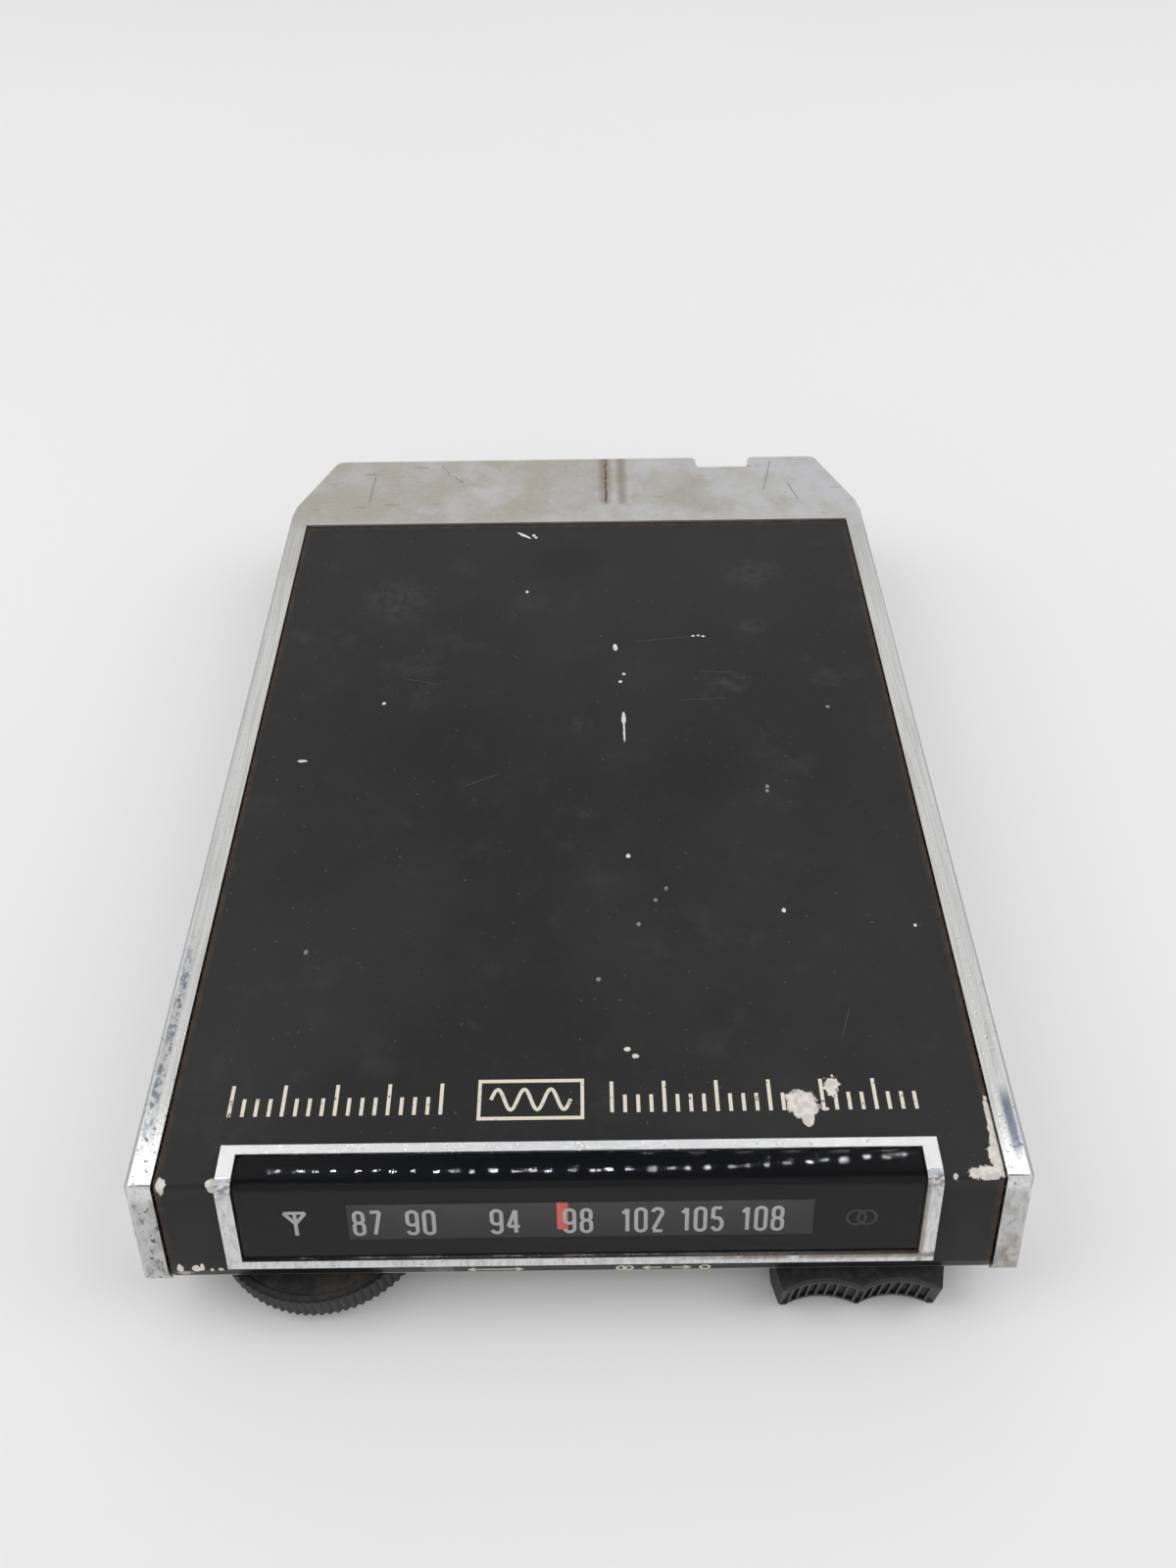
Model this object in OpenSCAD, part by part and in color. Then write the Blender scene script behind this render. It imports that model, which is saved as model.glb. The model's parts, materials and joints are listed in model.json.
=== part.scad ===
// FM tuner in the housing of a tape cartridge, in millimetres.
// Modules are drawn with y = 0 on the bend at the nose, +y towards the insert end and z = 0 on the floor.
// placed() then moves the whole assembly to the middle of its footprint.

/* [Case] */
// Width of the cartridge, set by the player's slot
body_w = 102.6; // [100:0.1:106]
// Height of the cartridge, set by the player's slot
body_h = 20.6; // [20.2:0.1:22]
// Length of the top face from the nose bend to the insert end
body_len = 139.3; // [136:0.1:155]
// Width of a rail on the top face
rail_w = 3.2; // [2.8:0.1:3.6]
// Bevel along the outer edge of a rail
rail_bevel = 0.7; // [0.2:0.1:1.2]
// Thickness of the side walls under the rails
wall_t = 2.4; // [2:0.1:2.8]
// Thickness of the wall at the insert end
end_t = 2.4; // [2:0.1:3]
// Width of the ledge that carries the cover
ledge_w = 1.9; // [1.5:0.1:2.2]
// Thickness of that ledge
ledge_t = 1.5; // [1.2:0.1:1.8]
// Length of the bare band at the insert end
band_len = 19.1; // [16:0.1:24]
// Corner cut at the insert end, across
cut_x = 6.6; // [5:0.1:8]
// Corner cut at the insert end, along
cut_y = 15.5; // [10:0.1:18]
// Rounding of the plan corners
corner_r = 1.6; // [0.5:0.1:2.5]
// Centre of the capstan notch across the end
notch_x = 27.35; // [22:0.05:30]
// Width of the capstan notch
notch_w = 9.8; // [8:0.1:12]
// Depth of the capstan notch
notch_d = 3; // [2:0.1:4]

/* [Nose] */
// Lean of the nose face from upright, in degrees
nose_lean = 24.4; // [23:0.1:26]
// Drop of the leaning face
nose_drop = 12.1; // [11.7:0.1:12.3]
// Height of the upright strip below it
nose_strip = 1.8; // [1.6:0.1:2.2]
// Outer radius of the cover's bend
bend_r = 1.3; // [1.2:0.1:2]
// Radius of the rails' bend
rail_bend_r = 0.6; // [0.4:0.1:1]
// Setback of the lower front from the bend
foot_y = 1.2; // [1:0.1:1.5]

/* [Covers] */
// Thickness of the painted top cover
cover_t = 0.9; // [0.7:0.1:1.1]
// Depth of the top cover below the rails
cover_sink = 0.45; // [0.3:0.05:0.5]
// Gap between the top cover and the rails
cover_gap = 0.15; // [0.1:0.05:0.3]
// Thickness of the bottom cover
base_t = 1; // [0.8:0.1:1.2]

/* [Dial] */
// Width over the chromed bezel
bezel_w = 81.6; // [80:0.1:84]
// Width of a bezel side leg
bezel_leg = 1.8; // [1.5:0.1:2]
// Reach of the bezel on the top face
bezel_top = 4.6; // [4.4:0.1:5.5]
// Width of the bezel's top leg
bezel_top_leg = 1.1; // [1:0.1:1.4]
// Distance of the bezel's lower edge down the nose
bezel_foot = 11.9; // [11.6:0.1:12.3]
// Width of the bezel's lower leg
bezel_foot_leg = 1.1; // [0.9:0.1:1.2]
// Height of the bezel above the cover
bezel_proud = 1.1; // [0.7:0.1:1.3]
// Thickness of the lens
lens_t = 2.2; // [2:0.1:2.3]
// Width of the scale window
window_w = 54.1; // [50:0.1:55]
// Centre of the scale window across the nose
window_x = 0.1; // [-0.5:0.1:0.5]
// Top of the window down the nose
window_s = 3.9; // [3.6:0.1:4.2]
// Height of the window along the nose
window_h = 5.5; // [5:0.1:5.8]
// Rest place of the pointer across the scale
pointer_x = -2; // [-2.2:0.1:-1.8]
// Width of the pointer blade
pointer_w = 1.3; // [0.8:0.1:1.5]

/* [Tuning drive] */
// Diameter of the thumbwheel over its knurl
wheel_d = 28.4; // [27.6:0.1:28.8]
// Thickness of the thumbwheel
wheel_t = 4.5; // [4.2:0.1:4.6]
// Distance of the wheel's centre behind the bend
wheel_y = 5.8; // [5.6:0.1:6]
// Distance of the wheel's centre from the case side
wheel_side = 19.3; // [19:0.1:20]
// Number of teeth on the knurl
wheel_teeth = 90; // [60:2:110]
// Depth of the knurl
knurl_t = 0.32; // [0.2:0.02:0.5]
// Diameter of the tuning spindle
spindle_d = 3; // [2.6:0.1:3.2]
// Radius of the cord's centre line on the spindle
spindle_r = 2.9; // [2.8:0.05:3]
// Radius of the cord's centre line on the drum
drum_r = 14.5; // [14:0.1:15]
// Radius of the cord's centre line on the pulley
pulley_r = 3; // [2.8:0.05:3.1]
// Thickness of the dial cord
cord_d = 0.6; // [0.4:0.05:0.6]
// Distance of the drum's centre behind the bend
drum_y = 38; // [37:0.5:40]

/* [Mode switch] */
// Width of the slide knob
knob_w = 20; // [19:0.1:21]
// Height of the slide knob
knob_h = 5; // [4.6:0.1:5.2]
// Distance of the knob's centre from the case side
knob_side = 18.3; // [18:0.1:19]
// Reach of the knob in front of the bend
knob_reach = 7.6; // [7.2:0.1:8]
// Depth of each finger scallop
scallop_d = 1; // [0.6:0.1:1.2]
// Ribs in each scallop
scallop_ribs = 8; // [6:1:9]
// Travel of the knob to the other mode
mode_travel = 4; // [3:0.1:4]

/* [Board] */
// Thickness of the circuit board
board_t = 1.6; // [1.2:0.1:1.8]
// Height of the board's underside above the floor
board_z = 3.2; // [3:0.1:3.4]
// Height of the intermediate-frequency cans
can_h = 9.6; // [8:0.1:9.8]

/* [Hidden] */

$fn = 48;
eps = 0.02;
far = 30;

// Case
half_w = body_w / 2;
rail_x = half_w - rail_w;
ledge_x = rail_x - ledge_w;
wall_x = half_w - wall_t;
band_y = body_len - band_len;
skin = cover_sink + cover_t;
ledge_o = skin + ledge_t;
nose_out = nose_drop * tan(nose_lean);
knee_z = body_h - nose_drop;
nose_z = knee_z - nose_strip;
mid_y = (body_len + wheel_y - wheel_d / 2) / 2;
block_len = 12;
front_block_y = 24;
rear_block_y = body_len - 33.3;
block_w = 9;

// Heights inside
cord_z = body_h - 4.2;
cord_drop = 0.9;
shelf_z = nose_z + 0.6;
shelf_t = 1;
shelf_top = shelf_z + shelf_t;
deck_z = cord_z - 3.8;
deck_top = deck_z + shelf_t;
board_top = board_z + board_t;

// Dial, as depths below the rail faces
lens_out = 0.2;
lens_in = lens_out - lens_t;
mask_out = lens_in - eps;
mask_in = mask_out - 0.23;
blade_out = mask_in - 0.65;
blade_in = blade_out - 0.6;
plate_out = blade_in - 0.7;
plate_in = plate_out - 0.6;
plate_s = 4.6;
opening_x = bezel_w / 2 - bezel_leg;

// Tuning drive
wheel_x = -(half_w - wheel_side);
wheel_top = nose_z - 0.4;
wheel_z = wheel_top - wheel_t;
groove_lo = cord_z - cord_drop - 0.45;
groove_hi = cord_z + 0.45;
flange_t = 0.4;
cord_y = wheel_y - spindle_r;
pulley_x = half_w - 13.3;
pulley_y = cord_y + pulley_r;
rail_y = wheel_y + 0.5;
rail_z = deck_top + 1.15;
rail_r = 0.75;
lug_left = wheel_x + 4.2;
lug_right = 30;
chassis_x = ledge_x - 0.6;
web_y = 14.5;
ear_x = wall_x - 3.6;
ear_y = 18.5;
ear_hole_z = base_t + 1.5;
ear_screw_len = shelf_top - ear_hole_z - 1.7;

// Mode switch
knob_x = half_w - knob_side;
knob_top = nose_z - 0.4;
knob_z = knob_top - knob_h;
stem_w = 6;
tongue = [3, 2.9, 2];
shell_floor_gap = 1.6;
shell = [19, 6, shelf_z - base_t - shell_floor_gap];
shell_y = foot_y + 3.6;
shell_z = shelf_z - shell[2];
slide_z = shell_z + shell[2] / 2;
slider_h = shell[2] - 2;

// Board and insert end
board_y = 22;
board_end = body_len - 17.3;
board_x = wall_x - 1.4;
field_y = drum_y + 18;
lead_z = board_top + 0.15;
end_shelf_z = 4.9;
end_plate_t = 1;
window_z = body_h / 2 - 5.1;
end_window_h = 10.6;
contact_x = -(half_w - 21.3);
lamp_x = 32.4;
lamp_z = (shelf_top + deck_z) / 2;

// Vectors, rounded outlines and the nose's profile

function unit(v) = v / norm(v);

function at(list, i) = list[(i + len(list)) % len(list)];

// Outline with each [x, y, r] corner rounded by its own radius
function rounded(pts, n = 5) =
    [for (i = [0 : len(pts) - 1]) each corner(at(pts, i - 1), pts[i], at(pts, i + 1), n)];

function corner(a, b, c, n) =
    b[2] == 0 ? [[b[0], b[1]]] :
    let (u = unit([a[0] - b[0], a[1] - b[1]]),
         v = unit([c[0] - b[0], c[1] - b[1]]),
         half = acos(u * v) / 2,
         o = [b[0], b[1]] + unit(u + v) * b[2] / sin(half),
         from = [b[0], b[1]] + u * b[2] / tan(half) - o,
         to = [b[0], b[1]] + v * b[2] / tan(half) - o,
         start = atan2(from[1], from[0]),
         sweep = (atan2(to[1], to[0]) - start + 540) % 360 - 180)
    [for (k = [0 : n]) o + b[2] * [cos(start + sweep * k / n), sin(start + sweep * k / n)]];

// [y, z] at distance s down the nose and height o above its face
function lean(s, o) =
    [-s * sin(nose_lean) - o * cos(nose_lean), body_h - s * cos(nose_lean) + o * sin(nose_lean)];

// The same face at a given height z
function lean_at(z, o) = lean((body_h + o * sin(nose_lean) - z) / cos(nose_lean), o);

// Foot of the leaning face, where the upright strip begins
function strip(o) = lean((nose_out + o - o * cos(nose_lean)) / sin(nose_lean), o);

// Points round the bend between the top face and the nose
function bend(o, n = 6) =
    let (r = bend_r + o,
         k = cos(nose_lean) - tan(nose_lean) * (1 - sin(nose_lean)))
    r < 0.05 ? [[-k * o, body_h + o]] :
    [for (i = [0 : n])
        let (t = 90 + (90 - nose_lean) * i / n)
        [k * bend_r + r * cos(t), body_h - bend_r + r * sin(t)]];

function flip(list) = [for (i = [len(list) - 1 : -1 : 0]) list[i]];

// Layer between two heights, from y on the top face to s down the nose
function nose_band(hi, lo, y, s) =
    concat([[y, body_h + hi]], bend(hi), [lean(s, hi), lean(s, lo)], flip(bend(lo)), [[y, body_h + lo]]);

// Extrusion of a [y, z] outline from x0 to x1
module across(x0, x1) {
    translate([x0, 0, 0])
        rotate([90, 0, 90])
            linear_extrude(x1 - x0)
                children();
}

// Extrusion of an [x, z] outline from y0 to y1
module along(y0, y1) {
    translate([0, y1, 0])
        rotate([90, 0, 0])
            linear_extrude(y1 - y0)
                children();
}

// Box by its lowest and highest corners
module box(a, b) {
    translate(a)
        cube(b - a);
}

module both_sides() {
    children();
    mirror([1, 0, 0])
        children();
}

// Upright cylinder from z0 to z1
module post(x, y, z0, z1, r) {
    translate([x, y, z0])
        cylinder(r = r, h = z1 - z0);
}

// Rod between two points
module rod(p, q, r) {
    v = q - p;
    translate(p)
        rotate([0, acos(v[2] / norm(v)), atan2(v[1], v[0])])
            cylinder(r = r, h = norm(v), $fn = 24);
}

// Round tube along a path, with m sides and either closed on itself or capped
module tube(path, r, closed = false, m = 8) {
    n = len(path);
    last = closed ? n - 1 : n - 2;
    pts = [
        for (i = [0 : n - 1])
            let (ahead = closed ? at(path, i + 1) : path[min(i + 1, n - 1)],
                 behind = closed ? at(path, i - 1) : path[max(i - 1, 0)],
                 t = unit(ahead - behind),
                 u = unit(cross(t, [0.1, 0, 1])),
                 v = cross(u, t))
            for (j = [0 : m - 1])
                path[i] + r * (cos(360 * j / m) * u + sin(360 * j / m) * v)
    ];
    sides = [
        for (i = [0 : last])
            for (j = [0 : m - 1])
                let (a = i * m + j,
                     b = i * m + (j + 1) % m,
                     c = ((i + 1) % n) * m + (j + 1) % m,
                     d = ((i + 1) % n) * m + j)
                each [[a, b, c], [a, c, d]]
    ];
    caps = closed ? [] : [
        [for (j = [m - 1 : -1 : 0]) j],
        [for (j = [0 : m - 1]) (n - 1) * m + j]
    ];
    polyhedron(pts, concat(sides, caps));
}

// Wire that leaves p along d0 and reaches q along d1
module wire(p, d0, q, d1, r) {
    tube([
        for (i = [0 : 8])
            let (t = i / 8, w = 1 - t)
            w * w * w * p + 3 * t * w * w * (p + d0) + 3 * t * t * w * (q - d1) + t * t * t * q
    ], r);
}

// Screw with a round head whose underside is at z
module pan_screw(x, y, z, head_r, head_h, shank_r, shank_len) {
    difference() {
        union() {
            post(x, y, z, z + head_h, head_r);
            post(x, y, z - shank_len, z + eps, shank_r);
        }
        translate([x - head_r, y - 0.2, z + head_h * 0.55])
            cube([2 * head_r, 0.4, head_h]);
    }
}

module placed() {
    translate([0, -mid_y, 0])
        children();
}

// Case

// Plan outline inside the case by side and end insets
function plan(side, end) =
    let (n = unit([cut_y, cut_x]),
         c = n * [half_w, body_len - cut_y] - side,
         x = half_w - side,
         y = body_len - end)
    [[x, (c - n[0] * x) / n[1]], [(c - n[1] * y) / n[0], y]];

module plan_outline(side, end, r) {
    p = plan(side, end);
    polygon(rounded([
        [-p[0][0], -far, 0],
        [p[0][0], -far, 0],
        [p[0][0], p[0][1], r],
        [p[1][0], p[1][1], r],
        [-p[1][0], p[1][1], r],
        [-p[0][0], p[0][1], r]
    ]));
}

module notch_outline(grow) {
    x0 = notch_x - notch_w / 2 - grow;
    x1 = notch_x + notch_w / 2 + grow;
    y0 = body_len - notch_d - grow;
    polygon(rounded([
        [x0 - 3, body_len + 3, 0],
        [x0 - 3, body_len, 0],
        [x0, body_len, 0.9],
        [x0, y0, 0.9],
        [x1, y0, 0.9],
        [x1, body_len, 0.9],
        [x1 + 3, body_len, 0],
        [x1 + 3, body_len + 3, 0]
    ]));
}

module frame_blank() {
    intersection() {
        linear_extrude(body_h)
            plan_outline(0, 0, corner_r);
        across(-half_w, half_w)
            polygon(concat(
                [[body_len + 1, body_h]],
                corner([body_len, body_h], [0, body_h, rail_bend_r], [-nose_out, knee_z], 5),
                corner([0, body_h], [-nose_out, knee_z, 1.2], [-nose_out, nose_z], 5),
                corner([-nose_out, knee_z], [-nose_out, nose_z, 0.6], [foot_y, nose_z], 5),
                [[foot_y, nose_z], [foot_y, 0], [body_len + 1, 0]]));
        along(-far, body_len + 1)
            polygon([
                [-half_w, 0],
                [half_w, 0],
                [half_w, body_h - rail_bevel],
                [half_w - rail_bevel, body_h],
                [-half_w + rail_bevel, body_h],
                [-half_w, body_h - rail_bevel]
            ]);
    }
}

// Room for the top cover between the rails
module cover_seat() {
    across(-rail_x, rail_x)
        polygon(concat(
            [[band_y, body_h + 5], [-far, body_h + 5], [-far, -5], [-nose_out + skin, -5], strip(-skin)],
            flip(bend(-skin)),
            [[band_y, body_h - skin]]));
}

// Room inside the walls and under the ledges
module frame_hollow() {
    box([-ledge_x, -far, -1], [ledge_x, band_y - ledge_w, body_h + 1]);
    intersection() {
        translate([0, 0, -1])
            linear_extrude(body_h)
                plan_outline(wall_t, end_t, corner_r / 2);
        across(-wall_x, wall_x)
            polygon(concat(
                [[body_len, -1], [body_len, body_h - ledge_o]],
                bend(-ledge_o),
                [strip(-ledge_o), [-nose_out + ledge_o, nose_z], [-far, nose_z], [-far, -1]]));
    }
}

// Bevel on the outer edges of the rails where they run down the nose
module nose_bevels() {
    for (x = [-half_w, half_w])
        translate([x, 0, body_h])
            rotate([-nose_lean, 0, 0])
                rotate([0, 0, 45])
                    cube([rail_bevel * sqrt(2), rail_bevel * sqrt(2), 4 * nose_drop], center = true);
}

module frame_blocks() {
    both_sides() {
        for (y = [front_block_y, rear_block_y])
            box([wall_x - block_w, y, base_t], [wall_x + 0.1, y + block_len, board_z]);
        post(ear_x, ear_y, base_t, shelf_z, 2.6);
        box([ear_x, ear_y - 1, base_t], [wall_x + 0.1, ear_y + 1, shelf_z]);
    }
    for (x = [0, contact_x])
        box([x - 12, body_len - 9, base_t], [x + 12, body_len - end_t + 0.1, end_shelf_z]);
    intersection() {
        box([notch_x - notch_w, body_len - 2 * notch_d, 0], [notch_x + notch_w, body_len - 0.5, body_h]);
        linear_extrude(body_h)
            notch_outline(2);
    }
}

// Slots in the ledge for the cover's tongues
module tongues(grow) {
    both_sides()
        for (y = [18, band_y - 22])
            box([rail_x - 1.45 - grow, y - grow, body_h - ledge_o - 1],
                [rail_x - 0.55 + grow, y + 5 + grow, body_h - skin + 0.1]);
}

function end_screw_spots() = [
    [-9.6, body_len - 5.6],
    [9.6, body_len - 5.6],
    [contact_x - 9.6, body_len - 5.6],
    [contact_x + 9.6, body_len - 5.6]
];

function block_spots(dx, dy) = [
    for (side = [-1, 1])
        for (y = [front_block_y, rear_block_y])
            [side * (wall_x - dx), y + dy]
];

module case_frame() {
    color([0.72, 0.72, 0.70])
        difference() {
            union() {
                difference() {
                    frame_blank();
                    cover_seat();
                    frame_hollow();
                    nose_bevels();
                }
                frame_blocks();
            }
            translate([0, 0, -1])
                linear_extrude(body_h + 2)
                    notch_outline(0);
            for (x = [0, contact_x])
                box([x - 7.3, body_len - end_t - 1, window_z],
                    [x + 7.3, body_len + 1, window_z + end_window_h]);
            tongues(0.15);
            for (p = block_spots(6.2, 3))
                post(p[0], p[1], base_t - 1, board_z + 1, 0.9);
            for (p = block_spots(4, 9))
                post(p[0], p[1], base_t - 1, board_z + 1, 0.9);
            for (x = [-ear_x, ear_x])
                post(x, ear_y, ear_hole_z, shelf_z + 1, 1.15);
            for (p = end_screw_spots())
                post(p[0], p[1], 2, end_shelf_z + 1, 0.9);
        }
}

module bezel_pins(r, deep) {
    for (x = [-1, 1] * (bezel_w / 2 - 0.6)) {
        for (s = [4.5, 9.5])
            translate([x, lean(s, -cover_sink)[0], lean(s, -cover_sink)[1]])
                rotate([90 - nose_lean, 0, 0])
                    translate([0, 0, -deep])
                        cylinder(r = r, h = deep + 0.2);
    }
}

module top_cover() {
    color([0.16, 0.16, 0.16])
        difference() {
            union() {
                across(-rail_x + cover_gap, rail_x - cover_gap)
                    polygon(concat(
                        [[band_y - cover_gap, body_h - cover_sink]],
                        bend(-cover_sink),
                        [strip(-cover_sink),
                         [-nose_out + cover_sink, nose_z],
                         [-nose_out + skin, nose_z],
                         strip(-skin)],
                        flip(bend(-skin)),
                        [[band_y - cover_gap, body_h - skin]]));
                tongues(0);
            }
            across(-opening_x, opening_x)
                polygon(nose_band(2, -2, bezel_top - bezel_top_leg, bezel_foot - bezel_foot_leg));
            bezel_pins(0.5, 3);
        }
}

module bottom_cover() {
    gap = 0.1;
    lip_h = nose_z - 0.3;
    p = plan(wall_t + gap, end_t + gap);
    color([0.45, 0.45, 0.44])
        difference() {
            union() {
                intersection() {
                    linear_extrude(base_t)
                        plan_outline(wall_t + gap, end_t + gap, corner_r / 2);
                    box([-half_w, foot_y, -1], [half_w, body_len, base_t + 1]);
                }
                box([-p[0][0], foot_y, 0], [p[0][0], foot_y + base_t, lip_h]);
            }
            translate([0, 0, -1])
                linear_extrude(base_t + 2)
                    notch_outline(2 + gap);
            box([wheel_x - wheel_d / 2 - 0.8, foot_y - 1, wheel_z - 0.5],
                [wheel_x + wheel_d / 2 + 0.8, foot_y + base_t + 1, lip_h + 1]);
            box([knob_x - mode_travel - stem_w / 2 - 0.6, foot_y - 1, slide_z - 1.9],
                [knob_x + stem_w / 2 + 0.6, foot_y + base_t + 1, lip_h + 1]);
            for (q = block_spots(4, 9)) {
                post(q[0], q[1], -1, base_t + 1, 1.05);
                translate([q[0], q[1], -eps])
                    cylinder(r1 = 2, r2 = 1, h = 0.85);
            }
        }
}

module bottom_screws() {
    color([0.75, 0.75, 0.74])
        for (q = block_spots(4, 9))
            difference() {
                union() {
                    translate([q[0], q[1], 0.05])
                        cylinder(r1 = 1.9, r2 = 0.95, h = 0.8);
                    post(q[0], q[1], 0.05, board_z - 0.3, 0.85);
                }
                box([q[0] - 2, q[1] - 0.2, -1], [q[0] + 2, q[1] + 0.2, 0.35]);
            }
}

// Dial

module dial_bezel() {
    color([0.8, 0.8, 0.82])
        union() {
            difference() {
                across(-bezel_w / 2, bezel_w / 2)
                    polygon(nose_band(bezel_proud - cover_sink, -cover_sink, bezel_top, bezel_foot));
                across(-opening_x, opening_x)
                    polygon(nose_band(3, -3, bezel_top - bezel_top_leg, bezel_foot - bezel_foot_leg));
            }
            bezel_pins(0.45, 1.3);
        }
}

module dial_lens() {
    y = bezel_top - bezel_top_leg - 0.1;
    s = bezel_foot - bezel_foot_leg - 0.1;
    color([0.1, 0.1, 0.11])
        across(-opening_x + 0.1, opening_x - 0.1)
            union() {
                polygon(nose_band(lens_out, lens_in, y, s));
                polygon(nose_band(-skin - eps, lens_in, y + 1, s + 0.6));
            }
}

module dial_mask() {
    color([0.05, 0.05, 0.05])
        difference() {
            across(-opening_x + 0.2, opening_x - 0.2)
                polygon(nose_band(mask_out, mask_in, bezel_top - 0.7, bezel_foot - 0.5));
            across(window_x - window_w / 2, window_x + window_w / 2)
                lean_patch(window_s, window_s + window_h, mask_out + 1, mask_in - 1);
            across(lamp_x - 1.8, lamp_x + 1.8)
                lean_patch(window_s + 1.5, window_s + 4, mask_out + 1, mask_in - 1);
        }
}

// Outline of a flat layer on the leaning face
module lean_patch(s0, s1, hi, lo) {
    polygon([lean(s0, hi), lean(s1, hi), lean(s1, lo), lean(s0, lo)]);
}

plate_flange_y = 4.5;
plate_flange_t = 0.6;

module dial_plate() {
    x0 = window_x - window_w / 2 - 0.9;
    x1 = window_x + window_w / 2 + 0.9;
    color([0.25, 0.26, 0.27])
        difference() {
            across(x0, x1)
                polygon([
                    lean(plate_s, plate_out),
                    lean_at(shelf_top, plate_out),
                    [plate_flange_y, shelf_top],
                    [plate_flange_y, shelf_top + plate_flange_t],
                    lean_at(shelf_top + plate_flange_t, plate_in),
                    lean(plate_s, plate_in)
                ]);
            for (x = [-20, 20])
                post(x, 2.4, shelf_z, shelf_top + 2, 0.85);
        }
}

module dial_plate_screws() {
    color([0.75, 0.75, 0.74])
        for (x = [-20, 20])
            pan_screw(x, 2.4, shelf_top + plate_flange_t, 1.4, 0.8, 0.8, shelf_t + plate_flange_t);
}

module dial_chassis() {
    color([0.7, 0.68, 0.6])
        difference() {
            union() {
                across(-chassis_x, chassis_x)
                    polygon([
                        [-nose_out + ledge_o + 0.4, shelf_z],
                        [web_y + shelf_t, shelf_z],
                        [web_y + shelf_t, deck_top],
                        [2.3, deck_top],
                        [2.3, deck_z],
                        [web_y, deck_z],
                        [web_y, shelf_top],
                        [-nose_out + ledge_o + 0.4, shelf_top]
                    ]);
                both_sides()
                    box([ear_x - 2.6, web_y, shelf_z], [ear_x + 2.6, ear_y + 2.6, shelf_top]);
                for (x = [lug_left, lug_right])
                    box([x, rail_y - 1.1, deck_top - 0.1], [x + 0.9, rail_y + 1.1, rail_z + 1]);
            }
            post(wheel_x, wheel_y, shelf_z - 1, deck_top + 1, 2.25);
            post(pulley_x, pulley_y, deck_z - 1, deck_top + 1, 1.02);
            for (x = [-ear_x, ear_x])
                post(x, ear_y, shelf_z - 1, shelf_top + 1, 1.2);
            for (x = [-20, 20])
                post(x, 2.4, shelf_z - 1, shelf_top + 1, 0.85);
            for (x = [-10.8, 10.8])
                post(knob_x + x, shell_y + 3, shelf_z - 1, shelf_top + 1, 0.95);
            rod([lug_left - 1, rail_y, rail_z], [lug_right + 2, rail_y, rail_z], rail_r + 0.02);
            rod([lamp_x, web_y - 1, lamp_z], [lamp_x, web_y + 2, lamp_z], 1.62);
        }
}

module chassis_screws() {
    color([0.75, 0.75, 0.74])
        for (x = [-ear_x, ear_x])
            pan_screw(x, ear_y, shelf_top, 2, 1, 1.1, ear_screw_len);
}

module pointer_rail() {
    color([0.8, 0.8, 0.8])
        rod([lug_left - 0.2, rail_y, rail_z], [lug_right + 1.1, rail_y, rail_z], rail_r);
}

module dial_pointer() {
    color([0.8, 0.25, 0.22])
        across(pointer_x - pointer_w / 2, pointer_x + pointer_w / 2)
            lean_patch(1.9, window_s + 5.1, blade_out, blade_in);
}

// Slider on the rail, with jaws above and below the cord
module pointer_carriage() {
    jaw_lo = cord_z - 1.2;
    jaw_hi = cord_z + 0.5;
    back_y = rail_y - 1.4;
    color([0.85, 0.84, 0.8])
        difference() {
            across(pointer_x - 2, pointer_x + 2)
                polygon([
                    [back_y, deck_top + 0.3],
                    [back_y + 2.8, deck_top + 0.3],
                    [back_y + 2.8, rail_z + 1.15],
                    [back_y, rail_z + 1.15],
                    [back_y, jaw_hi + 0.6],
                    [cord_y - 0.05, jaw_hi + 0.6],
                    [cord_y - 0.05, jaw_hi],
                    [cord_y + 0.7, jaw_hi],
                    [cord_y + 0.7, jaw_lo + 0.7],
                    lean_at(jaw_lo + 0.7, blade_in),
                    lean_at(jaw_lo, blade_in),
                    [back_y, jaw_lo]
                ]);
            rod([pointer_x - 3, rail_y, rail_z], [pointer_x + 3, rail_y, rail_z], rail_r + 0.05);
        }
}

// Tuning drive

module tuning_wheel() {
    r = wheel_d / 2;
    step = 180 / wheel_teeth;
    color([0.13, 0.13, 0.13])
        translate([wheel_x, wheel_y, wheel_z])
            difference() {
                linear_extrude(wheel_t)
                    polygon([
                        for (i = [0 : 2 * wheel_teeth - 1])
                            (r - (i % 2) * knurl_t) * [cos((i - wheel_teeth / 2) * step),
                                                       sin((i - wheel_teeth / 2) * step)]
                    ]);
                translate([0, 0, wheel_t - 0.3])
                    difference() {
                        cylinder(r = r - 1.1, h = 1);
                        translate([0, 0, -1])
                            cylinder(r = 4, h = 3);
                    }
                translate([0, 0, -1])
                    cylinder(r = spindle_d / 2 + eps, h = wheel_t + 2);
                translate([0, 0, -1])
                    cylinder(r = 2.7, h = 1.9);
            }
}

module tuning_spindle() {
    color([0.78, 0.76, 0.7])
        translate([wheel_x, wheel_y, 0])
            difference() {
                union() {
                    post(0, 0, wheel_z + 0.9, groove_hi, spindle_d / 2);
                    post(0, 0, groove_lo - flange_t, groove_lo, spindle_r + 0.7);
                    post(0, 0, groove_lo - 0.1, groove_hi + 0.1, spindle_r - cord_d / 2 - 0.1);
                    post(0, 0, groove_hi, groove_hi + flange_t, spindle_r + 0.7);
                }
                post(0, 0, 0, wheel_z + 4.4, 0.8);
            }
}

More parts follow.
